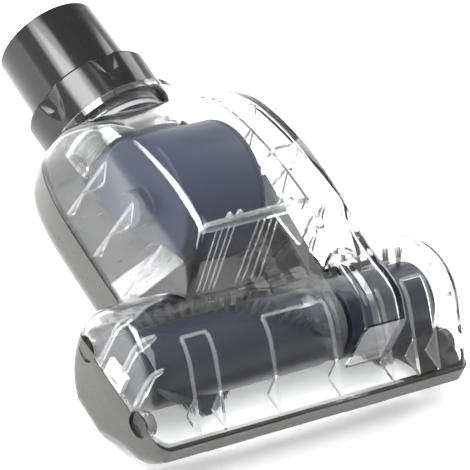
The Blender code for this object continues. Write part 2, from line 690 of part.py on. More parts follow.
def make_neck(looks, root):
    """Swivel tube, locking collar and the seal between tube and socket."""
    radius, wall = TUBE_RADIUS, TUBE_WALL
    groove = radius - 0.9 * MM
    back = NECK_REACH
    profile = [(-NECK_INSIDE, radius - wall), (-NECK_INSIDE, radius), (BEAD_FRONT, radius),
               (BEAD_FRONT, BEAD_RADIUS), (BEAD_BACK, BEAD_RADIUS), (BEAD_BACK, radius),
               (-5.2 * MM, radius), (-5.2 * MM, groove), (-3.0 * MM, groove), (-3.0 * MM, radius),
               (back - 0.6 * MM, radius), (back, radius - 0.6 * MM), (back, radius - wall + 0.8 * MM),
               (back - 0.8 * MM, radius - wall)]
    tube = turned("neck_tube", profile, NECK_BASE, NECK_AXIS, 48)
    dress(tube, looks["black"], root, axis_point=NECK_BASE)
    lip = radius + REST_GAP
    rim = COLLAR_RADIUS + COLLAR_FLARE
    ring = [(REST_GAP, lip), (REST_GAP, COLLAR_RADIUS - 0.5 * MM), (0.8 * MM, COLLAR_RADIUS),
            (COLLAR_LENGTH - 0.8 * MM, rim), (COLLAR_LENGTH, rim - 0.6 * MM), (COLLAR_LENGTH, lip)]
    collar = turned("neck_collar", ring, NECK_BASE, NECK_AXIS, 48)
    scoops = []
    for step in range(COLLAR_SCOOPS):
        angle = 2 * math.pi * (step + 0.35) / COLLAR_SCOOPS
        scoops.append(collar_scoop(f"scoop_{step}", angle))
    combine(collar, [merge_solids("scoops", scoops)], "DIFFERENCE")
    dress(collar, looks["black"], root, axis_point=NECK_BASE)
    seal = [(-5.0 * MM, groove + 0.1 * MM), (-5.0 * MM, radius + 0.3 * MM),
            (-3.2 * MM, radius + 0.3 * MM), (-3.2 * MM, groove + 0.1 * MM)]
    dress(turned("neck_seal", seal, NECK_BASE, NECK_AXIS, 48), looks["felt"], root)


def collar_scoop(name, angle):
    """A leaf-shaped finger recess cutter at the collar's outer end."""
    bpy.ops.mesh.primitive_uv_sphere_add(segments=16, ring_count=10, radius=1.0)
    scoop = bpy.context.object
    scoop.name = name
    side = Vector((1.0, 0.0, 0.0))
    other = NECK_AXIS.cross(side)
    out = side * math.cos(angle) + other * math.sin(angle)
    across = NECK_AXIS.cross(out)
    place = NECK_BASE + NECK_AXIS * (COLLAR_LENGTH + 1.0 * MM) + out * (COLLAR_RADIUS + COLLAR_FLARE + 0.4 * MM)
    turn = Matrix((across, NECK_AXIS, out)).transposed().to_4x4()
    size = Matrix.Diagonal((4.4 * MM, 9.5 * MM, 2.2 * MM, 1.0))
    scoop.data.transform(Matrix.Translation(place) @ turn @ size)
    return scoop


def toothed_outline(radius, depth, teeth, centre):
    """A pulley's outline: flat-topped teeth with grooves between, in (y, z)."""
    points = []
    for step in range(teeth):
        base = 2 * math.pi * step / teeth
        pitch = 2 * math.pi / teeth
        for share, reach in ((0.0, radius), (0.5, radius), (0.62, radius - depth), (0.88, radius - depth)):
            a = base + share * pitch
            points.append((centre[0] + reach * math.cos(a), centre[1] + reach * math.sin(a)))
    return points


def make_roller(looks, root):
    """Brush roller core with its belt seat, end bores and bristle grooves."""
    centre = (ROLLER_Y, ROLLER_Z)
    radius, half = ROLLER_RADIUS, ROLLER_HALF
    seat = LARGE_PULLEY - 2.2 * MM
    left, right = BELT_X - PULLEY_WIDTH / 2, BELT_X + PULLEY_WIDTH / 2
    deep = BUSH_LENGTH + 1.0 * MM
    bore = BUSH_RADIUS + REST_GAP
    profile = [(-half + deep, 0.0), (-half + deep, bore), (-half, bore), (-half, radius - 1.2 * MM),
               (-half + 1.2 * MM, radius), (left, radius), (left, seat), (right, seat), (right, radius),
               (half - 1.2 * MM, radius), (half, radius - 1.2 * MM), (half, bore),
               (half - deep, bore), (half - deep, 0.0)]
    axis = Vector((0.0, ROLLER_Y, ROLLER_Z))
    core = turned("brush_roller", profile, axis, (1, 0, 0), 48)
    dress(core, looks["inner"], root, axis_point=axis)
    outline = toothed_outline(LARGE_PULLEY, GROOVE_DEPTH, LARGE_TEETH, centre)
    pulley = prism_x("roller_pulley", outline, left + REST_GAP, right - REST_GAP)
    hole = rod_x("hole", centre, seat + REST_GAP, left - 1 * MM, right + 1 * MM, 48)
    combine(pulley, [hole], "DIFFERENCE")
    dress(pulley, looks["white"], root, axis_point=axis)
    for side, word in ((-1, "left"), (1, "right")):
        make_roller_end(looks, root, side, word)
    spans = {"a": 0.0, "b": math.pi}
    for letter, phase in spans.items():
        make_bristles(looks, root, letter, phase)


def make_roller_end(looks, root, side, word):
    """Bush, pin and bearing block at one end of the roller."""
    half = ROLLER_HALF
    centre = (ROLLER_Y, ROLLER_Z)
    axis = Vector((0.0, ROLLER_Y, ROLLER_Z))
    face = side * (half - REST_GAP)
    deep = side * (half - BUSH_LENGTH)
    low, high = min(face, deep), max(face, deep)
    ring = [(low, PIN_RADIUS + REST_GAP), (low, BUSH_RADIUS), (high, BUSH_RADIUS),
            (high, PIN_RADIUS + REST_GAP)]
    dress(turned(f"roller_bush_{word}", ring, axis, (1, 0, 0), 24), looks["bronze"], root)
    near = side * (half + REST_GAP)
    far = near + side * BLOCK_THICK
    size = BLOCK_SIZE / 2
    plate = block(f"bearing_block_{word}", (min(near, far), ROLLER_Y - size, ROLLER_Z - size),
                  (max(near, far), ROLLER_Y + size, ROLLER_Z + size))
    hole = rod_x("hole", centre, PIN_RADIUS + REST_GAP, min(near, far) - 1 * MM,
                 max(near, far) + 1 * MM, 24)
    combine(plate, [hole], "DIFFERENCE")
    dress(plate, looks["white"], root)
    tip, end = side * (half - BUSH_LENGTH - 0.4 * MM), far
    dress(rod_x(f"roller_pin_{word}", centre, PIN_RADIUS, min(tip, end), max(tip, end), 24),
          looks["steel"], root)


def make_bristles(looks, root, letter, phase):
    """A helical comb of bristle tufts on each side of the belt seat, one node each."""
    gap = PULLEY_WIDTH / 2 + 1.5 * MM
    last = ROLLER_HALF - TUFT_MARGIN
    ends = {"long": (-last, BELT_X - gap), "short": (BELT_X + gap, last)}
    for word, (start, stop) in ends.items():
        steps = max(3, int((stop - start) / (4 * MM)))
        rings = []
        low, high = ROLLER_RADIUS + REST_GAP, ROLLER_RADIUS + TUFT_REACH
        for k in range(steps + 1):
            x = start + (stop - start) * k / steps
            angle = TUFT_START + phase + 2 * math.pi * x / TUFT_PITCH
            out = Vector((0.0, math.cos(angle), math.sin(angle)))
            across = Vector((0.0, -math.sin(angle), math.cos(angle)))
            centre = Vector((x, ROLLER_Y, ROLLER_Z))
            width = TUFT_WIDTH / 2
            notch = 1.0 * MM if k % 2 else 0.0
            rings.append([centre + out * low - across * width, centre + out * low + across * width,
                          centre + out * (high - notch) + across * width * 1.15,
                          centre + out * (high - notch) - across * width * 1.15])
        comb = loft(f"bristle_row_{letter}_{word}", rings)
        dress(comb, looks["bristle"], root, axis_point=Vector((0.0, ROLLER_Y, ROLLER_Z)))


def belt_outline(offset, teeth_depth):
    """The belt's closed line round both pulleys, with inner teeth where depth is given."""
    small, large = SMALL_PULLEY + offset, LARGE_PULLEY + offset
    rear = np.array((TURBINE_Y, TURBINE_Z))
    front = np.array((ROLLER_Y, ROLLER_Z))
    run = rear - front
    span = float(np.linalg.norm(run))
    heading = math.atan2(run[1], run[0])
    spread = math.acos((large - small) / span)
    wrap_large = 2 * math.pi - 2 * spread
    wrap_small = 2 * spread
    straight = math.sqrt(span * span - (large - small) ** 2)
    total = large * wrap_large + small * wrap_small + 2 * straight
    points = []
    samples = BELT_TEETH * 4
    for k in range(samples):
        at = total * k / samples
        depth = teeth_depth if k % 4 in (1, 2) else 0.0
        if at < large * wrap_large:
            angle = heading + spread + at / large
            points.append(front + (large - depth) * np.array((math.cos(angle), math.sin(angle))))
            continue
        at -= large * wrap_large
        if at < straight:
            angle = heading - spread
            normal = np.array((math.cos(angle), math.sin(angle)))
            points.append(front + (large - depth) * normal + at * np.array((-normal[1], normal[0])))
            continue
        at -= straight
        if at < small * wrap_small:
            angle = heading - spread + at / small
            points.append(rear + (small - depth) * np.array((math.cos(angle), math.sin(angle))))
            continue
        at -= small * wrap_small
        angle = heading + spread
        normal = np.array((math.cos(angle), math.sin(angle)))
        points.append(rear + (small - depth) * normal + at * np.array((-normal[1], normal[0])))
    return [tuple(p) for p in points]


def make_belt(looks, root):
    """Toothed belt, a closed band whose teeth stand just clear of both pulleys."""
    inner = belt_outline(BELT_TOOTH + RUN_GAP, BELT_TOOTH)
    outer = belt_outline(BELT_TOOTH + RUN_GAP + BELT_THICK, 0.0)
    left, right = BELT_X - BELT_WIDTH / 2, BELT_X + BELT_WIDTH / 2
    count = len(inner)
    points = [(x, y, z) for x in (left, right) for ring in (inner, outer) for y, z in ring]
    faces = []
    for i in range(count):
        j = (i + 1) % count
        inner_left, outer_left = 0, count
        inner_right, outer_right = 2 * count, 3 * count
        faces.append((inner_left + i, inner_left + j, outer_left + j, outer_left + i))
        faces.append((inner_right + i, outer_right + i, outer_right + j, inner_right + j))
        faces.append((inner_left + i, inner_right + i, inner_right + j, inner_left + j))
        faces.append((outer_left + i, outer_left + j, outer_right + j, outer_right + i))
    dress(mesh_object("drive_belt", points, faces), looks["rubber"], root)


def bladed_outline():
    """Outline of hub and curved blades in (y, z): out along one face and back on the other."""
    points = []
    pitch = 2 * math.pi / WHEEL_BLADES
    for blade in range(WHEEL_BLADES):
        start = blade * pitch
        outward, inward = [], []
        for k in range(5):
            share = k / 4
            reach = WHEEL_HUB + (WHEEL_RADIUS - WHEEL_HUB) * share
            sweep = start + 0.42 * share ** 1.5
            half = (0.75 * MM) / reach
            outward.append((reach, sweep - half))
            inward.append((reach, sweep + half))
        points += outward + list(reversed(inward))
        points.append((WHEEL_HUB, start + pitch / 2))
    return [(TURBINE_Y + r * math.cos(a), TURBINE_Z + r * math.sin(a)) for r, a in points]


def make_turbine(looks, root):
    """Turbine wheel, shaft and drive pulley, all on one axis."""
    axis = Vector((0.0, TURBINE_Y, TURBINE_Z))
    centre = (TURBINE_Y, TURBINE_Z)
    left = DRUM_LEFT + DRUM_WALL + 1.2 * MM
    right = DRUM_RIGHT - DRUM_WALL - 1.2 * MM
    wheel = prism_x("turbine_wheel", bladed_outline(), left, right)
    discs = [rod_x("disc", centre, WHEEL_RADIUS - 0.6 * MM, at - WHEEL_DISC / 2, at + WHEEL_DISC / 2, 36)
             for at in (left + WHEEL_DISC, right - WHEEL_DISC)]
    combine(wheel, discs, "UNION")
    combine(wheel, [rod_x("bore", centre, SHAFT_RADIUS + REST_GAP, left - 1 * MM, right + 1 * MM, 24)],
            "DIFFERENCE")
    dress(wheel, looks["white"], root, axis_point=axis)
    shaft_left = DRUM_LEFT - BEARING_LENGTH - 1.0 * MM
    shaft_right = BELT_X + PULLEY_WIDTH / 2
    dress(rod_x("turbine_shaft", centre, SHAFT_RADIUS, shaft_left, shaft_right, 24), looks["steel"],
          root, axis_point=axis)
    pulley = prism_x("drive_pulley", toothed_outline(SMALL_PULLEY, GROOVE_DEPTH, SMALL_TEETH, centre),
                     BELT_X - PULLEY_WIDTH / 2 + REST_GAP, BELT_X + PULLEY_WIDTH / 2 - REST_GAP)
    hole = rod_x("hole", centre, SHAFT_RADIUS + REST_GAP, BELT_X - PULLEY_WIDTH, BELT_X + PULLEY_WIDTH, 24)
    combine(pulley, [hole], "DIFFERENCE")
    dress(pulley, looks["white"], root, axis_point=axis)


def make_housing(looks, root):
    """Turbine drum with its air openings, its end plate and the two shaft bearings."""
    axis = Vector((0.0, TURBINE_Y, TURBINE_Z))
    centre = (TURBINE_Y, TURBINE_Z)
    inner = DRUM_RADIUS - DRUM_WALL
    boss = BEARING_RADIUS + 1.6 * MM
    seat = BEARING_RADIUS + REST_GAP
    left = DRUM_LEFT
    profile = [(left, SHAFT_RADIUS + 1 * MM), (left + DRUM_WALL, SHAFT_RADIUS + 1 * MM),
               (left + DRUM_WALL, inner), (DRUM_RIGHT - DRUM_WALL - REST_GAP, inner),
               (DRUM_RIGHT - DRUM_WALL - REST_GAP, DRUM_RADIUS), (left + 1.0 * MM, DRUM_RADIUS),
               (left, DRUM_RADIUS - 1.0 * MM), (left, boss), (left - BEARING_LENGTH, boss),
               (left - BEARING_LENGTH, seat), (left, seat)]
    drum = turned("turbine_housing", profile, axis, (1, 0, 0), 56)
    cuts = [block("inlet", (left + 3 * MM, 60 * MM, 20 * MM), (DRUM_RIGHT - 4 * MM, 76 * MM, 31 * MM)),
            block("outlet", (left + 3 * MM, 101 * MM, 17 * MM), (DRUM_RIGHT - 4 * MM, 120 * MM, 40 * MM))]
    combine(drum, cuts, "DIFFERENCE")
    dress(drum, looks["inner"], root)
    face = DRUM_RIGHT - DRUM_WALL
    plate = [(face, SHAFT_RADIUS + 1 * MM), (face, DRUM_RADIUS), (face + DRUM_WALL - 0.4 * MM, DRUM_RADIUS),
             (face + DRUM_WALL, DRUM_RADIUS - 0.4 * MM), (face + DRUM_WALL, boss),
             (face + DRUM_WALL + BEARING_LENGTH - 1 * MM, boss),
             (face + DRUM_WALL + BEARING_LENGTH - 1 * MM, seat), (face + DRUM_WALL, seat),
             (face + DRUM_WALL, SHAFT_RADIUS + 1 * MM)]
    dress(turned("turbine_end_plate", plate, axis, (1, 0, 0), 56), looks["inner"], root)
    hole = SHAFT_RADIUS + REST_GAP
    for word, start, stop in (("left", left - BEARING_LENGTH, left - REST_GAP),
                              ("right", face + DRUM_WALL + REST_GAP, face + DRUM_WALL + BEARING_LENGTH)):
        ring = [(start, hole), (start, BEARING_RADIUS), (stop, BEARING_RADIUS), (stop, hole)]
        dress(turned(f"turbine_bearing_{word}", ring, axis, (1, 0, 0), 32), looks["steel"], root)


def make_casters(looks, root):
    """Two small wheels under the rear body, each on its own pin."""
    for side, word in ((-1, "left"), (1, "right")):
        centre_x = side * CASTER_X
        point = Vector((centre_x, CASTER_Y, CASTER_RADIUS))
        half = CASTER_WIDTH / 2
        hole = CASTER_PIN + REST_GAP
        ring = [(-half, hole), (-half, CASTER_RADIUS - 0.8 * MM), (-half + 0.8 * MM, CASTER_RADIUS),
                (half - 0.8 * MM, CASTER_RADIUS), (half, CASTER_RADIUS - 0.8 * MM), (half, hole)]
        dress(turned(f"caster_wheel_{word}", ring, point, (1, 0, 0), 32), looks["white"], root,
              axis_point=point)
        reach = half + 0.5 * MM + 1.5 * MM
        pin = rod_x(f"caster_pin_{word}", (CASTER_Y, CASTER_RADIUS), CASTER_PIN, centre_x - reach,
                    centre_x + reach, 16)
        dress(pin, looks["steel"], root)


def main():
    """Build the whole brush."""
    clear_scene()
    root = bpy.data.objects.new("brush", None)
    bpy.context.collection.objects.link(root)
    root.location = (0.0, -ORIGIN_Y, 0.0)
    looks = finishes()
    make_hood(looks, root)
    make_base(looks, root)
    make_neck(looks, root)
    make_roller(looks, root)
    make_belt(looks, root)
    make_turbine(looks, root)
    make_housing(looks, root)
    make_casters(looks, root)


main()
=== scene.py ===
"""Looks of a small vacuum turbo brush: clear ribbed hood, black base, dark works.

Lengths are metres. Shapes are worked out in the shop frame, where the front
edge of the seam is at y = 0, and every mesh is then moved back by SHOP_SHIFT,
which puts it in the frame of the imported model.
"""

import logging
import math
from dataclasses import dataclass, field
from enum import Enum
from typing import Callable, Dict, List, Optional, Sequence, Tuple

import bmesh
import bpy
import numpy as np
from mathutils import Matrix, Vector


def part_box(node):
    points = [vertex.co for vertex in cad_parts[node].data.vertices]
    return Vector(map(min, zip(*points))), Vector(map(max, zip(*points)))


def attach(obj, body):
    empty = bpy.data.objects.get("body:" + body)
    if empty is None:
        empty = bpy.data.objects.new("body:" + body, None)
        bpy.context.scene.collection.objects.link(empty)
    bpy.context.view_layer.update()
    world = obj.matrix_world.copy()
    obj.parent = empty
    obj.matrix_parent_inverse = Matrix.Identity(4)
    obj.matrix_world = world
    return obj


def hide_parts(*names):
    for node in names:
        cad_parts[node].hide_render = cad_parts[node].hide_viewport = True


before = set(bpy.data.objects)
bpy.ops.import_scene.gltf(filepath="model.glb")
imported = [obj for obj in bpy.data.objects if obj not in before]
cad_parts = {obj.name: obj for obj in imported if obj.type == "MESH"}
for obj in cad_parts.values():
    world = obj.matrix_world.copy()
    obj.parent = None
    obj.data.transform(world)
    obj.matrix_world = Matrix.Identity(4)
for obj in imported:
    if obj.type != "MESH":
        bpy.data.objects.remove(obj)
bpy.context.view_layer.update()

Array = np.ndarray
Piece = bpy.types.Object
Node = bpy.types.Node
Socket = bpy.types.NodeSocket
Material = bpy.types.Material
Triple = Tuple[float, float, float]

MM = 0.001
SEAM_Z = 21.5 * MM
ROLLER_Y = 34.0 * MM
ROLLER_Z = 22.0 * MM
ROLLER_HALF = 66.0 * MM
BELT_X = 22.8 * MM
PULLEY_LOW, PULLEY_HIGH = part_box("roller_pulley")
SHOP_SHIFT = np.array((0.0, ROLLER_Y - (PULLEY_LOW[1] + PULLEY_HIGH[1]) / 2, 0.0))
FAR_LOW, FAR_HIGH = (-0.2, -0.1), (0.2, 0.3)
ALONG_X = (1.0, 0.0, 0.0)
SLACK = 0.0005
ROUNDING_POINTS = 5
LOG = logging.getLogger("turbo_brush")


class Body(Enum):
    """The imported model's bodies that the drawn pieces move with."""

    CASING = "casing"
    ROLLER = "roller"
    NECK = "neck"
    COLLAR = "collar"
    CASTER_LEFT = "caster_left"
    CASTER_RIGHT = "caster_right"


# Surfaces worked out as whole arrays


def grid_faces(rows: int, cols: int, wrap_rows: bool = False) -> Array:
    """Quads of a grid of points whose rings are closed.

    Args:
        rows: Number of rings.
        cols: Points in each ring.
        wrap_rows: Join the last ring to the first.

    Returns:
        An array of four point numbers for each quad.
    """
    r = np.arange(rows if wrap_rows else rows - 1)[:, None]
    c = np.arange(cols)[None, :]
    after_r, after_c = (r + 1) % rows, (c + 1) % cols
    quads = (r * cols + c, r * cols + after_c, after_r * cols + after_c, after_r * cols + c)
    return np.stack([np.broadcast_to(q, (r.size, c.size)) for q in quads], axis=-1).reshape(-1, 4)


def placed(name: str, data: bpy.types.ID) -> Piece:
    """A new object that holds some data, linked to the scene."""
    made = bpy.data.objects.new(name, data)
    bpy.context.scene.collection.objects.link(made)
    return made


def mesh_piece(name: str, points: Array, faces: Sequence[Sequence[int]]) -> Piece:
    """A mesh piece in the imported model's frame, in triangles that face outwards.

    Args:
        name: Name of the piece.
        points: Points in the shop frame, one row each.
        faces: Point numbers of each face.

    Returns:
        The new piece, at the origin and unturned.
    """
    mesh = bpy.data.meshes.new(name)
    moved = np.asarray(points, dtype=float).reshape(-1, 3) - SHOP_SHIFT
    mesh.from_pydata(moved.tolist(), [], [list(face) for face in faces])
    work = bmesh.new()
    work.from_mesh(mesh)
    bmesh.ops.remove_doubles(work, verts=work.verts, dist=1e-7)
    bmesh.ops.dissolve_degenerate(work, edges=work.edges, dist=1e-8)
    bmesh.ops.recalc_face_normals(work, faces=work.faces)
    bmesh.ops.triangulate(work, faces=work.faces)
    work.to_mesh(mesh)
    work.free()
    return placed(name, mesh)


def loft(name: str, rings: Array) -> Piece:
    """A closed solid through rings of equally many points, with a flat cap at each end.

    Args:
        name: Name of the piece.
        rings: Points as (ring, point, xyz).
    """
    rows, cols = rings.shape[:2]
    faces = [list(f) for f in grid_faces(rows, cols)]
    faces.append(list(range(cols))[::-1])
    faces.append(list(range((rows - 1) * cols, rows * cols)))
    return mesh_piece(name, rings.reshape(-1, 3), faces)


def prism(name: str, outline: Array, low: float, high: float, along: int) -> Piece:
    """A prism of a flat outline, along X (0) or Y (1).

    Args:
        name: Name of the piece.
        outline: Points in the two other axes, in their order.
        low: Where the prism starts.
        high: Where it ends.
        along: Axis that the prism follows.
    """
    outline = np.asarray(outline, dtype=float)
    rings = np.stack([np.insert(outline, along, at, axis=1) for at in (low, high)])
    return loft(name, rings)


def block(name: str, corner: Sequence[float], opposite: Sequence[float]) -> Piece:
    """A box between two opposite corners, used as a rib or as a tool for a cut."""
    (x0, x1), (y0, y1), (z0, z1) = (sorted(pair) for pair in zip(corner, opposite))
    return prism(name, np.array([(y0, z0), (y1, z0), (y1, z1), (y0, z1)]), x0, x1, 0)


def turn_axes(axis: Triple) -> Tuple[Array, Array, Array]:
    """A unit axis and the two directions square to it, the first of them level."""
    unit = np.array(axis, dtype=float)
    unit /= np.linalg.norm(unit)
    side = np.array((0.0, 0.0, 1.0)) if abs(unit[0]) > 0.9 else np.array((1.0, 0.0, 0.0))
    return unit, side, np.cross(unit, side)


def turned(name: str, profile: Sequence[Sequence[float]], centre: Triple, axis: Triple, segments: int,
           radial: Optional[Callable[[Array, Array], Array]] = None) -> Piece:
    """A closed profile turned about an axis.

    Each point is centre + axis * along + (side * cos t + other * sin t) * radius.

    Args:
        name: Name of the piece.
        profile: Closed profile as (along, radius) rows.
        centre: Point on the axis, in the shop frame.
        axis: Direction of the axis.
        segments: Steps round the axis.
        radial: Gives what is added to the radius for arrays of angle and station.

    Returns:
        The turned piece.
    """
    unit, side, other = turn_axes(axis)
    profile = np.asarray(profile, dtype=float)
    angle = circle(segments)[:, None]
    along = np.broadcast_to(profile[:, 0], (segments, len(profile)))
    radius = np.broadcast_to(profile[:, 1], (segments, len(profile)))
    if radial is not None:
        radius = radius + radial(np.broadcast_to(angle, radius.shape), along) * (radius > 1e-6)
    ray = side * np.cos(angle)[..., None] + other * np.sin(angle)[..., None]
    points = np.asarray(centre, dtype=float) + unit * along[..., None] + ray * radius[..., None]
    faces = grid_faces(segments, len(profile), wrap_rows=True)
    return mesh_piece(name, points, faces.tolist())


def rounded(profile: Sequence[Tuple[float, float]], radius: float) -> Array:
    """A closed outline whose corners are turned into small curves.

    Each corner becomes a quadratic curve that starts and ends at most radius
    away from it, or at a third of the shorter side.

    Args:
        profile: Corner points of the closed outline.
        radius: How far from the corner a curve starts.
    """
    points = np.asarray(profile, dtype=float)
    before, after = np.roll(points, 1, axis=0), np.roll(points, -1, axis=0)
    to_before, to_after = before - points, after - points
    len_before = np.linalg.norm(to_before, axis=1, keepdims=True)
    len_after = np.linalg.norm(to_after, axis=1, keepdims=True)
    reach = np.minimum(radius, np.minimum(len_before, len_after) / 3)
    start, stop = points + to_before / len_before * reach, points + to_after / len_after * reach
    t = np.linspace(0.0, 1.0, ROUNDING_POINTS)[None, :, None]
    curve = (1 - t) ** 2 * start[:, None] + 2 * t * (1 - t) * points[:, None] + t ** 2 * stop[:, None]
    return curve.reshape(-1, points.shape[1])


def eased(line: Sequence[Tuple[float, float]], rounds: int) -> Array:
    """An open line with its corners cut off again and again, its two ends kept."""
    points = np.asarray(line, dtype=float)
    for _ in range(rounds):
        near = points[:-1] * 0.75 + points[1:] * 0.25
        far = points[:-1] * 0.25 + points[1:] * 0.75
        middle = np.stack([near, far], axis=1).reshape(-1, points.shape[1])
        points = np.vstack([points[:1], middle[1:-1], points[-1:]])
    return points


def circle(steps: int) -> Array:
    """Angles at equal steps once round."""
    return np.linspace(0.0, 2 * np.pi, steps, endpoint=False)


def arc(radius: float, start: float, stop: float, steps: int) -> Array:
    """Points in Y and Z about the roller's axis: axis + radius * (cos t, sin t), t in radians."""
    t = np.linspace(start, stop, steps)
    return np.stack([ROLLER_Y + radius * np.cos(t), ROLLER_Z + radius * np.sin(t)], axis=1)


def volume_of(mesh: bpy.types.Mesh) -> Tuple[bool, float]:
    """Whether a mesh is one closed surface, and the volume that it holds."""
    work = bmesh.new()
    work.from_mesh(mesh)
    closed = bool(work.faces) and all(edge.is_manifold for edge in work.edges)
    volume = work.calc_volume(signed=True)
    work.free()
    return closed, volume


def combine(target: Piece, tools: Sequence[Piece], operation: str) -> Piece:
    """Join tools to a piece, cut them from it or keep what they share, and drop the tools.

    Args:
        target: The piece that is changed.
        tools: The pieces that are joined or cut away.
        operation: UNION, DIFFERENCE or INTERSECT.

    Returns:
        The changed piece.
    """
    for tool in tools:
        before, share = volume_of(target.data)[1], volume_of(tool.data)[1]
        low, high = {"UNION": (before, before + share), "DIFFERENCE": (before - share, before),
                     "INTERSECT": (before * 0.05, min(before, share))}[operation]
        for solver in ("EXACT", "MANIFOLD"):
            modifier = target.modifiers.new("shape", "BOOLEAN")
            modifier.operation, modifier.solver, modifier.object = operation, solver, tool
            bpy.context.view_layer.update()
            graph = bpy.context.evaluated_depsgraph_get()
            mesh = bpy.data.meshes.new_from_object(target.evaluated_get(graph))
            target.modifiers.clear()
            work = bmesh.new()
            work.from_mesh(mesh)
            bmesh.ops.remove_doubles(work, verts=work.verts, dist=1e-6)
            bmesh.ops.dissolve_degenerate(work, edges=work.edges, dist=1e-6)
            work.to_mesh(mesh)
            work.free()
            closed, volume = volume_of(mesh)
            if closed and low * (1 - SLACK) <= volume <= high * (1 + SLACK):
                break
            LOG.info("%s: %s gave a poor %s with %s", target.name, solver, operation, tool.name)
        target.data = mesh
        bpy.data.objects.remove(tool, do_unlink=True)
    return target


def gathered(name: str, pieces: Sequence[Piece]) -> Piece:
    """Several separate closed bodies in one mesh."""
    work = bmesh.new()
    for piece in pieces:
        work.from_mesh(piece.data)
    mesh = bpy.data.meshes.new(name)
    work.to_mesh(mesh)
    work.free()
    for piece in pieces:
        bpy.data.objects.remove(piece, do_unlink=True)
    return placed(name, mesh)


def hang(piece: Piece, body: Body, slot: str, material: Material, stands_for: Sequence[str],
         angle: float) -> None:
    """Give a piece its finish and its body, smooth its shading, and hide the nodes that it stands for.

    Args:
        piece: The finished piece.
        body: Body that it moves with.
        slot: Name of a material slot; not used.
        material: Its finish.
        stands_for: Nodes that it replaces.
        angle: Edges sharper than this many degrees stay sharp.
    """
    piece.data.materials.clear()
    piece.data.materials.append(material)
    piece.data.shade_smooth()
    piece.data.set_sharp_from_angle(angle=math.radians(angle))
    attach(piece, body.value)
    if stands_for:
        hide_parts(*stands_for)
    LOG.info("%s: %d triangles", piece.name, len(piece.data.polygons))


# Finishes


class Graph:
    """A short way to place and join the nodes of one tree."""

    def __init__(self, tree: bpy.types.NodeTree) -> None:
        """Keep the tree that nodes are placed in."""
        self.tree = tree

    def node(self, kind: str, inputs: Optional[Dict[object, object]] = None, **settings: object) -> Node:
        """Place a node, set its plain properties and then its inputs."""
        made = self.tree.nodes.new(kind)
        for name, value in settings.items():
            setattr(made, name, value)
        self.fill(made, inputs or {})
        return made

    def fill(self, node: Node, inputs: Dict[object, object]) -> None:
        """Join each output, or set each constant, to the input of its name or number."""
        for name, value in inputs.items():
            if isinstance(value, Socket):
                self.tree.links.new(value, node.inputs[name])
            else:
                node.inputs[name].default_value = value

    def maths(self, operation: str, a: object, b: object) -> Socket:
        """A Math node; each input is a number or an output."""
        return self.node("ShaderNodeMath", {0: a, 1: b}, operation=operation).outputs[0]

    def blend(self, factor: Socket, a: Triple, b: Triple) -> Socket:
        """A colour between two, by a factor."""
        inputs = {"Factor": factor, "A": (*a, 1.0), "B": (*b, 1.0)}
        return self.node("ShaderNodeMix", inputs, data_type="RGBA").outputs["Result"]

    def noise(self, coordinates: Socket, scale: float, detail: float) -> Socket:
        """A noise field of some scale, in turns per metre."""
        inputs = {"Vector": coordinates, "Scale": scale, "Detail": detail}
        return self.node("ShaderNodeTexNoise", inputs).outputs["Fac"]

    def bump(self, height: Socket, strength: float, distance: float) -> Socket:
        """The normal of a surface that a height field ripples."""
        inputs = {"Strength": strength, "Distance": distance, "Height": height}
        return self.node("ShaderNodeBump", inputs).outputs["Normal"]


def new_material(name: str) -> Tuple[Material, Graph, Node]:
    """A new material with its graph and its shader."""
    material = bpy.data.materials.new(name)
    material.use_nodes = True
    return material, Graph(material.node_tree), material.node_tree.nodes["Principled BSDF"]


def moulded_group() -> bpy.types.ShaderNodeTree:
    """Group for moulded plastic: ripple of the mould, fine dust and light scuffs.

    Inputs are the coordinates and the strength of each effect. Outputs are a
    height for a bump, a dust mask and a scuff mask.
    """
    tree = bpy.data.node_groups.new("moulded_surface", "ShaderNodeTree")
    for name, kind in (("Vector", "Vector"), ("Dust", "Float"), ("Scuff", "Float")):
        tree.interface.new_socket(name=name, in_out="INPUT", socket_type=f"NodeSocket{kind}")
    for name in ("Height", "Dust Mask", "Scuff Mask"):
        tree.interface.new_socket(name=name, in_out="OUTPUT", socket_type="NodeSocketFloat")
    graph = Graph(tree)
    given, result = graph.node("NodeGroupInput").outputs, graph.node("NodeGroupOutput")
    place = given["Vector"]
    fine = graph.maths("MULTIPLY", graph.noise(place, 900.0, 3.0), 0.05)
    specks = graph.node("ShaderNodeTexVoronoi", {"Vector": place, "Scale": 700.0})
    near = graph.maths("LESS_THAN", specks.outputs["Distance"], 0.10)
    patches = graph.maths("GREATER_THAN", graph.noise(place, 130.0, 3.0), 0.58)
    stretch = graph.node("ShaderNodeMapping", {
        "Vector": place, "Rotation": (0.3, 0.5, 0.9), "Scale": (30.0, 900.0, 400.0)})
    lines = graph.maths("GREATER_THAN", graph.noise(stretch.outputs[0], 1.0, 4.0), 0.66)
    graph.fill(result, {
        "Height": graph.maths("ADD", graph.noise(place, 55.0, 1.0), fine),
        "Dust Mask": graph.maths("MULTIPLY", graph.maths("MULTIPLY", near, patches), given["Dust"]),
        "Scuff Mask": graph.maths("MULTIPLY", lines, given["Scuff"])})
    return tree


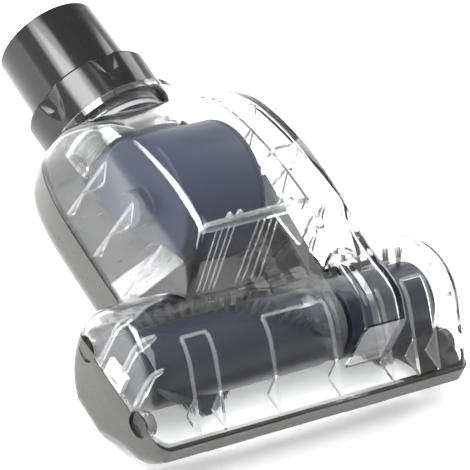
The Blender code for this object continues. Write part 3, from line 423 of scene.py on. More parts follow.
@dataclass(frozen=True)
class PlasticFinish:
    """An opaque moulded plastic, or a metal with the same fine surface.

    The colour is lifted a little by dust, and roughness by scuffs and ripple.
    """

    name: str
    colour: Triple
    dusty: Triple
    roughness: float
    bump: float = 0.02
    dust: float = 0.5
    scuff: float = 0.12
    metallic: float = 0.0
    specular: float = 0.5

    def constants(self) -> Dict[str, float]:
        """What the shader's plain inputs are set to."""
        return {"Metallic": self.metallic, "Specular IOR Level": self.specular}

    def build(self, group: bpy.types.ShaderNodeTree) -> Material:
        """Make the material.

        Args:
            group: The shared moulded surface group.
        """
        material, graph, shader = new_material(self.name)
        place = graph.node("ShaderNodeTexCoord").outputs["Object"]
        surface = graph.node("ShaderNodeGroup", node_tree=group)
        graph.fill(surface, {"Vector": place, "Dust": self.dust, "Scuff": self.scuff})
        masks = surface.outputs
        graph.fill(shader, self.constants())
        graph.fill(shader, {
            "Base Color": graph.blend(masks["Dust Mask"], self.colour, self.dusty),
            "Roughness": graph.maths("ADD", masks["Scuff Mask"], self.roughness),
            "Normal": graph.bump(masks["Height"], self.bump, 1.0 * MM)})
        return material


@dataclass(frozen=True)
class ClearFinish(PlasticFinish):
    """Clear polycarbonate: polished, faintly rippled, and open to the lamps' light.

    Shade is the share of the light that it holds back from what lies behind.
    """

    name: str = "clear_polycarbonate"
    colour: Triple = (0.975, 0.98, 0.985)
    dusty: Triple = (0.90, 0.90, 0.90)
    roughness: float = 0.03
    bump: float = 0.03
    dust: float = 0.4
    scuff: float = 0.05
    ior: float = 1.17
    clearness: float = 1.0
    coat: float = 0.55
    shade: float = 0.12

    def constants(self) -> Dict[str, float]:
        """What the shader's plain inputs are set to."""
        return {"Transmission Weight": self.clearness, "IOR": self.ior,
                "Coat Weight": self.coat, "Coat Roughness": 0.03}

    def build(self, group: bpy.types.ShaderNodeTree) -> Material:
        """Make the material, open to shadow rays but for its shade.

        Args:
            group: The shared moulded surface group.
        """
        material = super().build(group)
        graph = Graph(material.node_tree)
        path = graph.node("ShaderNodeLightPath")
        let_through = graph.maths("MULTIPLY", path.outputs["Is Shadow Ray"], 1.0 - self.shade)
        shader = material.node_tree.nodes["Principled BSDF"]
        graph.fill(shader, {"Alpha": graph.maths("SUBTRACT", 1.0, let_through)})
        return material


@dataclass(frozen=True)
class FibreFinish:
    """Nylon filaments or felt: matt, with its tone varied from spot to spot."""

    name: str
    colour: Triple
    light: Triple
    scale: float
    roughness: float = 0.55

    def build(self, _group: bpy.types.ShaderNodeTree) -> Material:
        """Make the material; the group isn't used by fibres."""
        material, graph, shader = new_material(self.name)
        tone = graph.noise(graph.node("ShaderNodeTexCoord").outputs["Object"], self.scale, 3.0)
        graph.fill(shader, {"Base Color": graph.blend(tone, self.colour, self.light),
                            "Roughness": self.roughness, "Normal": graph.bump(tone, 0.3, 0.2 * MM)})
        return material


FINISHES = {
    "black": PlasticFinish("black_gloss_plastic", (0.011, 0.011, 0.011), (0.06, 0.06, 0.06), 0.17),
    "neck": PlasticFinish("black_neck_plastic", (0.010, 0.010, 0.010), (0.05, 0.05, 0.05), 0.15,
                          specular=0.30),
    "shell": PlasticFinish("black_shell_plastic", (0.014, 0.013, 0.011), (0.07, 0.068, 0.064), 0.20,
                           specular=0.72),
    "inner": PlasticFinish("blue_black_plastic", (0.006, 0.009, 0.022), (0.026, 0.032, 0.055), 0.38,
                           bump=0.006, dust=0.6, specular=0.2),
    "roller": PlasticFinish("roller_plastic", (0.003, 0.004, 0.010), (0.016, 0.018, 0.030), 0.30,
                            bump=0.004, dust=0.7, specular=0.2),
    "clear": ClearFinish(),
    "rib": ClearFinish("cloudy_rib_plastic", roughness=0.05, ior=1.14, clearness=0.965, coat=0.35),
    "white": PlasticFinish("white_slip_plastic", (0.42, 0.42, 0.41), (0.5, 0.5, 0.5), 0.42),
    "pulley": PlasticFinish("grey_pulley_plastic", (0.05, 0.05, 0.055), (0.12, 0.12, 0.12), 0.45),
    "wheel": PlasticFinish("dark_wheel_plastic", (0.04, 0.04, 0.04), (0.12, 0.12, 0.12), 0.5),
    "rubber": PlasticFinish("belt_rubber", (0.016, 0.016, 0.017), (0.08, 0.08, 0.08), 0.75, bump=0.2),
    "steel": PlasticFinish("ground_steel", (0.60, 0.60, 0.61), (0.5, 0.5, 0.5), 0.28, metallic=1.0),
    "bronze": PlasticFinish("sintered_bronze", (0.45, 0.31, 0.17), (0.35, 0.25, 0.15), 0.42,
                            bump=0.3, metallic=1.0),
    "bristle": FibreFinish("nylon_bristle", (0.010, 0.010, 0.012), (0.035, 0.038, 0.045), 900.0),
    "felt": FibreFinish("grey_felt", (0.14, 0.14, 0.15), (0.26, 0.26, 0.27), 1500.0, 0.95),
}


# The casing's outer form


@dataclass
class CasingForm:
    """Sizes and sections that the hood and the base share."""

    radius: float = 24.0 * MM
    half: float = 71.2 * MM
    bow: float = 3.4 * MM
    fillet: float = 5.0 * MM
    sole_fillet: float = 4.5 * MM
    edge: float = 6.2 * MM
    keel: float = 9.0 * MM
    floor: float = 3.5 * MM
    channel_left: float = 15.3 * MM
    channel_width: float = 15.0 * MM
    channel_front: float = 8.0 * MM
    channel_edge: float = 1.7 * MM
    channel_flare: Tuple[float, float] = (2.3 * MM, 1.8 * MM)
    shoulder: float = 29 * MM
    crown: float = 42 * MM
    lean_low: float = 7.8 * MM
    lean_high: float = 6.5 * MM
    top_line: Array = field(default_factory=lambda: eased(
        [(36, 16), (42, 24), (55.5, 42), (58, 43), (68, 43.6), (78, 43.8), (92, 42.6), (104, 40.6),
         (110.5, 37.3), (116, 33.8), (121, 29.8), (125, 25.5), (128.5, 21), (132, 15.5), (135, 9.5),
         (137, 4)], 2) * MM)
    plan_line: Array = field(default_factory=lambda: eased(
        [(34, 46.4), (65, 45.5), (94, 43.4), (110.5, 41.7), (121, 39.0), (129.6, 35.5),
         (134, 31.0), (137, 26.0)], 3) * MM)
    channel_line: Array = field(default_factory=lambda: eased(
        [(8, 28.3), (14, 34.6), (21, 36.9), (32, 37.3), (42, 39.2), (55, 42.8), (68, 44.5),
         (80, 44.9), (92, 43.7), (104, 41.4), (112, 37.6), (119, 32.4)], 2) * MM)

    def moved_in(self, line: Array, inset: float) -> Array:
        """A top line in (y, z) moved inwards by inset, square to itself."""
        raised = line + np.array((0.0, SEAM_Z))
        along = np.gradient(raised, axis=0)
        along /= np.linalg.norm(along, axis=1)[:, None]
        return raised + inset * np.stack([along[:, 1], -along[:, 0]], axis=1)

    def half_width(self, y: float) -> float:
        """Half width of the rear body at the seam."""
        return float(np.interp(y, self.plan_line[:, 0], self.plan_line[:, 1]))

    def drawn_in(self, y: Array) -> Array:
        """How far the barrel's end is drawn in: bow * ((y - 22 mm) / 36 mm)^2."""
        return self.bow * ((y - 22 * MM) / (36 * MM)) ** 2

    def lean(self, height: Array) -> Array:
        """How far the rear body's side has moved in: slowly up to the shoulder, then faster."""
        low = self.lean_low * np.minimum(height, self.shoulder) / self.shoulder
        above = np.maximum(0.0, height - self.shoulder)
        return low + self.lean_high * above / (self.crown - self.shoulder)

    def upper_section(self, inset: float, low: float) -> Array:
        """Section over the roller: a straight flank from the nose, tangent to an arc."""
        radius = self.radius - inset
        nose = np.array((1.35 * inset, SEAM_Z))
        away = np.array((ROLLER_Y, ROLLER_Z)) - nose
        slope = math.atan2(away[1], away[0]) + math.asin(radius / np.linalg.norm(away))
        curve = arc(radius, slope + math.pi / 2, 0.0, 44)
        flank = nose + (curve[0] - nose) * np.linspace(0, 1, 7)[:-1, None]
        return np.vstack([[(nose[0], low)], flank, curve, [(ROLLER_Y + radius, low)]])

    def lower_section(self, inset: float, high: float) -> Array:
        """Section under the roller: the nose with its small foot, the sole and the arc behind."""
        radius, slope = self.radius - inset, inset * 0.8
        nose = np.array([(inset, 16.0 * MM), (4.5 * MM + slope, 9.5 * MM + slope),
                         (9.5 * MM + slope * 0.6, 6.6 * MM + inset), (15.0 * MM, 6.2 * MM + inset),
                         (23.0 * MM, 3.0 * MM + inset), (28.0 * MM, inset)])
        nose[0, 0] -= 0.3 * MM
        start = -math.pi / 2 + math.acos(min(1.0, (ROLLER_Z - inset) / radius))
        curve = arc(radius, start, -0.02, 26)
        return np.vstack([[(inset, high)], eased(nose, 2), curve, [(ROLLER_Y + radius, high)]])

    def barrel(self, name: str, section: Callable[[float, float], Array], half: float,
               fillet: float, inset: float, limit: float) -> Piece:
        """The barrel along X with rounded ends.

        A ring at x is the section at an inset that grows over the last fillet
        as a quarter circle, and x is drawn in towards the end. The end caps are
        the last ring scaled to its middle.

        Args:
            name: Name of the piece.
            section: Gives the ring in (y, z) for an inset and a limit.
            half: Half length.
            fillet: Radius of the end's edge.
            inset: Inset of the whole surface.
            limit: Where the section stops in z.
        """
        turn = np.linspace(0.0, math.pi / 2, 8)
        stations = half - fillet + fillet * np.sin(turn)
        drops = fillet * (1 - np.cos(turn))
        ramp = 16 * MM
        plain = np.linspace(0.0, half - fillet, 9)[:-1]
        xs = np.concatenate([plain, stations])
        insets = np.concatenate([np.zeros_like(plain), drops])
        sections = [section(inset + drop, limit) for drop in insets]
        last = sections[-1]
        hub = np.array((ROLLER_Y, (last[:, 1].min() + last[:, 1].max()) / 2))
        caps = [hub + share * (last - hub) for share in (0.8, 0.5, 0.2)]
        flat = np.stack(sections + caps)
        xs = np.concatenate([xs, np.full(3, half)])
        blend = np.clip((xs - (half - ramp)) / ramp, 0.0, 1.0)
        drawn = xs[:, None] - self.drawn_in(flat[..., 0]) * blend[:, None]
        right = np.concatenate([drawn[..., None], flat], axis=-1)
        left = right * np.array((-1.0, 1.0, 1.0))
        return loft(name, np.concatenate([left[::-1], right[1:]]))

    def rear_top(self, name: str, inset: float, low: float) -> Piece:
        """Upper rear body: sections across, lofted along y, with leaning sides and a soft edge."""
        beta = math.atan2(self.lean_high, self.crown - self.shoulder)
        turns = np.linspace(beta, math.pi / 2, 9)
        rings = []
        for y, top in self.moved_in(self.top_line, inset):
            half = self.half_width(y) - inset
            edge = min(self.edge - inset * 0.6, 0.45 * (top - SEAM_Z))
            start = top - SEAM_Z - edge + edge * math.sin(beta)
            crease = min(self.shoulder, 0.72 * start)
            heights = np.concatenate([np.linspace(0, crease, 4), np.linspace(crease, start, 4)[1:]])
            centre = half - float(self.lean(start)) - edge * math.cos(beta)
            side = np.stack([half - self.lean(heights), SEAM_Z + heights], axis=1)
            bend = np.stack([centre + edge * np.cos(turns), top - edge + edge * np.sin(turns)], axis=1)
            across = np.linspace(1.0, 0.0, 5)[1:]
            crown = np.stack([centre * across, top + 0.5 * MM * (1 - across ** 2)], axis=1)
            right = np.vstack([[(half, low)], side, bend[1:], crown])
            flat = np.vstack([right, (right * np.array((-1.0, 1.0)))[::-1][1:]])
            rings.append(np.insert(flat, 1, y, axis=1))
        return loft(name, np.stack(rings))

    def rear_bottom(self, name: str, inset: float, front: float, back: float, high: float) -> Piece:
        """Lower rear body: straight sides, a rounded keel edge and a floor that lifts at the back."""
        turn = np.linspace(0, math.pi / 2, 9)
        edge = self.keel - inset
        rings = []
        for y in np.linspace(front, back, 26):
            half = self.half_width(y) - inset
            lift = 9 * MM * max(0.0, (y - 122 * MM) / (15 * MM)) ** 2
            floor = self.floor + inset + lift
            bend = np.stack([half - edge + edge * np.cos(turn), floor + edge - edge * np.sin(turn)], axis=1)
            right = np.vstack([[(half, high)], bend])
            flat = np.vstack([right, (right * np.array((-1.0, 1.0)))[::-1]])
            rings.append(np.insert(flat, 1, y, axis=1))
        return loft(name, np.stack(rings))

    def channel(self, name: str, inset: float, low: float) -> Piece:
        """Belt channel over body and barrel: its top line carried along X, edges turned over.

        It widens to the front: the left side moves out by flare * (80 - y) / 50 and
        the right side by flare * (42 - y) / 34, both in millimetres and held to 0..1.
        """
        edge, left = self.channel_edge, self.channel_left + inset
        right = self.channel_left + self.channel_width - inset
        turn = np.linspace(0.0, math.pi / 2, 6)
        away, down = edge * (1 - np.cos(turn)), edge * (1 - np.sin(turn))
        xs = np.concatenate([left + away, (right - away)[::-1]])
        drops = np.concatenate([down, down[::-1]])
        rings = []
        for x, drop in zip(xs, drops):
            line = self.moved_in(self.channel_line, inset + drop)
            front = self.channel_front + inset
            line[:, 0] = np.maximum(front, line[:, 0])
            flat = np.vstack([[(line[-1, 0], low), (front, low), (front, line[0, 1] - 1.0 * MM)], line])
            share = (x - left) / (right - left)
            wide_left = self.channel_flare[0] * np.clip((80 * MM - flat[:, 0]) / (50 * MM), 0.0, 1.0)
            wide_right = self.channel_flare[1] * np.clip((42 * MM - flat[:, 0]) / (34 * MM), 0.0, 1.0)
            across = x - wide_left * (1 - share) + wide_right * share
            rings.append(np.insert(flat, 0, across, axis=1))
        return loft(name, np.stack(rings))


@dataclass
class NeckForm:
    """Sizes of the swivel neck and of its socket."""

    y: float = 135.7 * MM
    z: float = 24.0 * MM
    tilt: float = math.radians(3.0)
    reach: float = 45.1 * MM
    inside: float = 12.0 * MM
    tube: float = 19.8 * MM
    wall: float = 2.1 * MM
    socket: float = 21.8 * MM
    depth: float = 15.5 * MM
    bore: float = 20.3 * MM
    bead: float = 20.6 * MM
    bead_front: float = -9.0 * MM
    bead_back: float = -7.6 * MM
    flange: float = 26.9 * MM
    flange_thick: float = 2.6 * MM
    collar: float = 23.7 * MM
    flare: float = 0.8 * MM
    collar_length: float = 16.7 * MM
    scoops: int = 6
    gap: float = 0.3 * MM

    @property
    def base(self) -> Triple:
        """Point on the neck's axis at the flange, in the shop frame."""
        return (0.0, self.y, self.z)

    @property
    def axis(self) -> Triple:
        """Direction of the neck's axis."""
        return (0.0, math.cos(self.tilt), math.sin(self.tilt))

    def bar(self, name: str, radius: float, front: float, back: float) -> Piece:
        """A round bar on the neck's axis, used to join or cut."""
        profile = [(front, 0.0), (front, radius), (back, radius), (back, 0.0)]
        return turned(name, profile, self.base, self.axis, 96)

    def bore_tool(self) -> Piece:
        """Tool for the socket: the bore, with a groove for the tube's bead."""
        front, groove = -self.depth + 1.6 * MM, self.bead + self.gap
        near, far = self.bead_front - self.gap, self.bead_back + self.gap
        profile = [(front, 0.0), (front, self.bore), (near, self.bore), (near, groove), (far, groove),
                   (far, self.bore), (10 * MM, self.bore), (10 * MM, 0.0)]
        return turned("bore", profile, self.base, self.axis, 96)


@dataclass
class ClipForm:
    """The oval clip windows in both ends of the seam."""

    places: Tuple[float, float] = (14.2 * MM, 49.4 * MM)
    length: float = 9.5 * MM
    drop: float = 4.2 * MM
    height: float = SEAM_Z - 1.0 * MM

    def tools(self, grow: float, deep: float, half: float) -> List[Piece]:
        """Ovals through the end walls.

        Args:
            grow: How far the oval is widened.
            deep: How far the tool reaches in from the end.
            half: Half length of the barrel.
        """
        turn = circle(40)
        made = []
        for side in (-1, 1):
            for row, y in enumerate(self.places):
                outline = np.stack([y + (self.length / 2 + grow) * np.cos(turn),
                                    self.height + (self.drop + grow) * np.sin(turn)], axis=1)
                near, far = sorted((side * (half - deep), side * (half + 6 * MM)))
                made.append(prism(f"clip_{side}_{row}", outline, near, far, 0))
        return made


@dataclass
class ClearHood:
    """The clear one-piece hood with its ribs, gussets, belt channel and flange ring."""

    form: CasingForm
    neck: NeckForm
    clips: ClipForm
    wall: float = 1.9 * MM
    rib: float = 1.4 * MM
    bite: float = 0.3 * MM
    shallow: float = 0.6 * MM
    nose_end: float = math.radians(106)
    nose_ribs: Tuple[float, ...] = (-52.6, -41.4, -16.7, 10.8, 35.3, 47.0, 56.8)
    nose_links: Tuple[Tuple[int, int], ...] = ((0, 1), (2, 3), (5, 6))
    flutes: Tuple[Tuple[float, float], ...] = (
        (-24.0, -35.4), (-21.5, -33.0), (-18.5, -30.5), (-16.0, -28.4),
        (-4.9, -18.6), (-2.0, -15.5), (1.0, -11.5), (4.1, -7.9))

    def plate(self, name: str, outline: Sequence[Tuple[float, float]], side: int, y: float) -> Piece:
        """A rib square to Y on one side of the casing, from its outline in X and Z."""
        points = np.array(outline) * (side, 1.0)
        return prism(name, points, y - self.rib / 2, y + self.rib / 2, 1)

    def end_rib(self, side: int, y: float) -> Piece:
        """A gusset up the end wall that widens to a tab over the roller's end."""
        wall = self.form.half - self.wall
        low = SEAM_Z + 0.8 * MM
        if abs(y - ROLLER_Y) < 6.4 * MM:
            low = ROLLER_Z + 6.0 * MM
        inner, tab, top = ROLLER_HALF + 0.75 * MM, wall - 7.6 * MM, ROLLER_Z + 27 * MM
        outline = [(inner, low), (inner, ROLLER_Z + 15 * MM), (wall - 6.0 * MM, ROLLER_Z + 18 * MM),
                   (tab, ROLLER_Z + 21 * MM), (tab, top), (wall + 2 * MM, top), (wall + 2 * MM, low)]
        return self.plate("end_rib", outline, side, y)

    def nose_rib(self, x: float) -> Piece:
        """A rib along the inside of the flank and arc, deepened to a gusset at the nose."""
        inner = self.form.radius - self.wall
        section = self.form.upper_section(self.wall - self.bite, SEAM_Z + 0.6 * MM)
        nose, meet = section[1], section[7]
        tangent = math.atan2(meet[1] - ROLLER_Z, meet[0] - ROLLER_Y)
        outline = np.vstack([[nose, meet], arc(inner + self.bite, tangent, self.nose_end, 14)[1:],
                             arc(inner - self.shallow, self.nose_end, tangent, 14),
                             [(12.0 * MM, SEAM_Z + 9.5 * MM), (11.4 * MM, SEAM_Z + 0.6 * MM)]])
        return prism("nose_rib", outline, x - self.rib / 2, x + self.rib / 2, 0)

    def nose_link(self, left: float, right: float) -> Piece:
        """A low bar along X that joins the upper ends of two nose ribs."""
        inner, low = self.form.radius - self.wall, math.radians(103)
        outline = np.vstack([arc(inner + self.bite, low, self.nose_end, 4),
                             arc(inner - self.shallow, self.nose_end, low, 4)])
        return prism("nose_link", outline, left, right, 0)

    def side_rib(self, side: int, y: float) -> Piece:
        """A bracket on the leaning side wall: narrow at its foot, with a tab half-way up.

        The inner edge turns in along a quarter ellipse to the tab's tip, and the
        upper edge runs straight from the tip back to the wall.
        """
        half = self.form.half_width(y)
        low = SEAM_Z + 1.0 * MM
        foot = half - self.wall - 3.0 * MM
        curve = [(foot - 7.5 * MM * math.sin(a), low + 14 * MM - 4 * MM * math.cos(a))
                 for a in np.linspace(0.0, math.pi / 2, 6)]
        drift = float(self.form.lean(self.form.shoulder))
        outline = [(half, low), (foot, low), *curve, (half - drift, low + 28 * MM)]
        return self.plate("side_rib", outline, side, y)

    def flute(self, top: float, foot: float) -> Piece:
        """A fine slanting bar under the windshield.

        It follows the glass line (42, 45.5) to (55.5, 63.5) in Y and Z, whose inward
        normal is (0.8, -0.6); X runs from foot to top, and it stands 0.4 mm proud.
        """
        rings = []
        for share in (0.03, 0.92):
            x = foot + (top - foot) * share
            y, z = 42.0 + 13.5 * share, 45.5 + 18.0 * share
            rings.append([(x + w, y + 0.8 * d, z - 0.6 * d)
                          for w, d in ((-0.15, 1.5), (0.15, 1.5), (0.15, 2.3), (-0.15, 2.3))])
        return loft("flute", np.array(rings) * MM)

    def top_ribs(self) -> List[Piece]:
        """Ribs under the roof: across it, along the channel and down the windshield."""
        top, low, wall_low = SEAM_Z + 46 * MM, SEAM_Z + 37 * MM, 46.0 * MM
        channel = self.form.channel_left
        right = channel + self.form.channel_width
        made = [block("cross_rib", (-30 * MM, 57 * MM, low),
                      (channel + self.wall, 57 * MM + self.rib, top))]
        made += [block("cross_bump", (x * MM, 58.5 * MM, low + 2 * MM), ((x + 1.4) * MM, 60.0 * MM, top))
                 for x in (-18.2, -13.7, 4.8, 9.3)]
        made.append(block("channel_wall", (channel, 52 * MM, wall_low),
                          (channel + self.rib, 117 * MM, top)))
        made += [block("channel_rib", (channel, y, wall_low + 6 * MM), (right, y + self.rib, top))
                 for y in (80 * MM, 104 * MM)]
        return made + [self.flute(head, foot) for head, foot in self.flutes]

    def ribs(self) -> List[Piece]:
        """Every rib, before its outer edge is cut off at the wall."""
        made: List[Piece] = []
        for side in (-1, 1):
            made += [self.end_rib(side, y * MM) for y in (20.2, 31.2, 42.5)]
            made += [self.side_rib(side, y * MM) for y in (64.5, 85.0, 105.0)]
        made += [self.nose_rib(x * MM) for x in self.nose_ribs]
        for first, last in self.nose_links:
            made.append(self.nose_link(self.nose_ribs[first] * MM, self.nose_ribs[last] * MM))
        return made + self.top_ribs()

    def moulding(self, name: str, inset: float, low: float, more: Sequence[Piece] = ()) -> Piece:
        """Barrel, rear body and channel as one solid, moved in by inset.

        Their bottoms lie 1 mm apart, so that no two of them share a plane.

        Args:
            name: Name of the piece.
            inset: How far the whole surface is moved in.
            low: Where the barrel stops below the seam.
            more: Further pieces that are joined.
        """
        form, fillet = self.form, self.form.fillet - min(inset, 1.5 * MM)
        whole = form.barrel(name, form.upper_section, form.half - inset, fillet, inset, low)
        parts = [form.rear_top("rear", inset, low - 1 * MM), form.channel("channel", inset, low - 2 * MM)]
        return combine(whole, [*parts, *more], "UNION")

    def build(self) -> Piece:
        """The outer form less its hollow, the neck's bore and the clip windows."""
        neck, low = self.neck, SEAM_Z - 4 * MM
        flange = neck.bar("flange", neck.flange, -neck.flange_thick, 1 * MM)
        outer = self.moulding("hood_clear", 0.0, low, [flange])
        hollow = self.moulding("hollow", self.wall, low - 5 * MM)
        kept = neck.bar("kept", neck.socket + 1.4 * MM, -neck.depth, -neck.flange_thick / 2)
        combine(hollow, [kept], "DIFFERENCE")
        under = block("under", (*FAR_LOW, -0.1), (*FAR_HIGH, SEAM_Z + 0.35 * MM))
        beyond = neck.bar("beyond", 60 * MM, 0.0, 30 * MM)
        windows = gathered("windows", self.clips.tools(0.4 * MM, 4.0 * MM, self.form.half))
        return combine(outer, [hollow, beyond, neck.bore_tool(), under, windows], "DIFFERENCE")

    def inner_ribs(self) -> Piece:
        """Every rib, cut off 0.03 mm short of the wall's inner face.

        They are part of the one moulding, and a piece of their own here because
        the thicker plastic of a rib is a little cloudier than the wall.
        """
        first, *others = self.ribs()
        ribs = combine(first, others, "UNION")
        combine(ribs, [self.moulding("room", self.wall + 0.03 * MM, SEAM_Z - 4 * MM)], "INTERSECT")
        ribs.name = "hood_ribs"
        return ribs


@dataclass
class BlackBase:
    """The black lower casing with its mouth, supports, wheel wells and clip windows."""

    form: CasingForm
    neck: NeckForm
    clips: ClipForm
    housing: "TurbineHousing"
    wheels: "SmallWheels"
    wall: float = 2.2 * MM
    block: float = 10.0 * MM
    block_thick: float = 1.8 * MM
    gap: float = 0.3 * MM
    deck_edge: float = 24.9 * MM
    deck_line: Tuple[Tuple[float, float], ...] = (
        (62.0, 38.5), (68.0, 37.0), (73.0, 35.3), (78.7, 30.8), (88.4, 26.7), (97.0, 24.7),
        (106.0, 23.2), (118.0, 23.2))

    def supports(self) -> List[Piece]:
        """Cradles for the drum, saddles for the roller's ends and boxes over the wheels."""
        drum, wheels, floor = self.housing, self.wheels, self.form.floor + 0.5 * MM
        turn, reach = np.radians(np.linspace(26, -26, 11)), drum.radius + self.gap
        top = np.stack([drum.y + reach * np.sin(turn), drum.z - reach * np.cos(turn)], axis=1)
        cradle = np.vstack([[(78 * MM, floor), (100 * MM, floor)], top])
        made = [prism("cradle", cradle, x, x + 2.4 * MM, 0) for x in (-17.2 * MM, 4.8 * MM)]
        half, reach = self.block / 2 + 2.2 * MM, wheels.width / 2 + 3.0 * MM
        for side in (-1, 1):
            near, far, centre = ROLLER_HALF + self.gap, self.form.half + 0.5 * MM, side * wheels.x
            made.append(block("saddle", (side * near, ROLLER_Y - half, 1.5 * MM),
                              (side * far, ROLLER_Y + half, SEAM_Z - 0.5 * MM)))
            made.append(block("caster_box", (centre - reach, wheels.y - 9 * MM, floor),
                              (centre + reach, wheels.y + 9 * MM, 15.5 * MM)))
        return made

    def cuts(self) -> List[Piece]:
        """Tools that open the mouth, the windows, the bearing seats and the wheel wells."""
        drum, wheels, high = self.housing, self.wheels, SEAM_Z + 5 * MM
        made = [block("mouth", (-62.5 * MM, 9 * MM, -5 * MM), (62.5 * MM, 51 * MM, 13 * MM)),
                block("air_window", (drum.left, 50 * MM, 9 * MM), (drum.right, 66 * MM, high)),
                block("belt_window", (BELT_X - 6 * MM, 50 * MM, 13 * MM), (BELT_X + 6 * MM, 66 * MM, high)),
                block("above", (*FAR_LOW, SEAM_Z - 0.15 * MM), (*FAR_HIGH, 0.2))]
        half, reach = self.block / 2 + self.gap, wheels.width / 2 + 0.5 * MM
        well, grip, hole = wheels.radius + 0.8 * MM, reach + 1.8 * MM, wheels.hole
        profile = [(-grip, 0.0), (-grip, hole), (grip, hole), (grip, 0.0)]
        for side in (-1, 1):
            near, far = ROLLER_HALF - 1 * MM, ROLLER_HALF + 2 * self.gap + self.block_thick
            made.append(block("seat", (side * near, ROLLER_Y - half, ROLLER_Z - half),
                              (side * far, ROLLER_Y + half, high)))
            centre = side * wheels.x
            made.append(block("well", (centre - reach, wheels.y - well, -1 * MM),
                              (centre + reach, wheels.y + well, wheels.radius + well)))
            made.append(turned("pin_hole", profile, (centre, wheels.y, wheels.radius), ALONG_X, 32))
        return made

    def lip_pads(self) -> List[Piece]:
        """Two thin pads under the nose, which step the lower edge of the front band."""
        outline = np.array([(0.3, 15.4), (3.6, 9.6), (5.2, 10.2), (2.4, 15.8)]) * MM
        return [prism("lip_pad", outline, left * MM, right * MM, 0)
                for left, right in ((-43.5, -24), (19, 37))]

    def build(self) -> Piece:
        """The outer form less its hollow, in which the supports are kept."""
        form, neck = self.form, self.neck
        high = SEAM_Z + 4 * MM
        outer = form.barrel("base_black", form.lower_section, form.half, form.sole_fillet, 0.0, high)
        combine(outer, [form.rear_bottom("rear", 0.0, 50 * MM, 136.9 * MM, high + 1 * MM),
                        neck.bar("socket", neck.socket, -neck.depth, 1 * MM)] + self.lip_pads(), "UNION")
        hollow = form.barrel("hollow", form.lower_section, form.half - self.wall,
                             form.sole_fillet - self.wall, self.wall, high + 5 * MM)
        rear = form.rear_bottom("rear_hollow", self.wall, 60.5 * MM, 130.5 * MM, high + 6 * MM)
        hollow = gathered("hollow", [hollow, rear])
        kept = neck.bar("kept", neck.socket, -neck.depth, -1.0 * MM)
        combine(hollow, self.supports() + [kept], "DIFFERENCE")
        beyond = neck.bar("beyond", 60 * MM, 0.0, 30 * MM)
        windows = gathered("windows", self.clips.tools(0.0, 2.6 * MM, form.half))
        return combine(outer, [hollow, beyond, neck.bore_tool(), windows] + self.cuts(), "DIFFERENCE")

    def inner_deck(self) -> Piece:
        """Sloping panel beside the drum, from the side wall up to the drum's left end.

        Each ring stands at one Y: its outer edge lies on the wall at the seam, and
        its inner edge rises from the back to the front, beside the drum's face.
        """
        rings, inner = [], -(self.deck_edge + self.gap)
        for y, high in np.array(self.deck_line) * MM:
            wall = 2.4 * MM - self.form.half_width(y)
            rings.append([(wall, y, 18.6 * MM), (inner, y, high - 1.6 * MM), (inner, y, high),
                          (wall, y, 20.4 * MM)])
        return loft("inner_deck", np.array(rings))

    def latches(self) -> Piece:
        """Oval clip tongues that stand in the windows, each with a dished face.

        The face is an ellipse whose depth is 1.3 mm * (1 - r^2) below its rim, and
        a last ring 4.6 mm in closes the tongue behind.
        """
        made, rings, turn = [], np.linspace(0.0, 1.0, 9)[1:], circle(48)
        reach = np.append(rings, 1.0)[:, None] * 0.97
        for side in (-1, 1):
            for y in self.clips.places:
                end = self.form.half - self.form.drawn_in(y)
                depth = np.append(end - 1.5 * MM - 1.3 * MM * (1 - rings ** 2), end - 4.6 * MM)
                ys = y + (self.clips.length / 2) * reach * np.cos(turn)
                zs = self.clips.height + self.clips.drop * reach * np.sin(turn)
                xs = np.broadcast_to(side * depth[:, None], ys.shape)
                made.append(loft("tongue", np.stack([xs, ys, zs], axis=-1)))
        return gathered("clip_tongues", made)


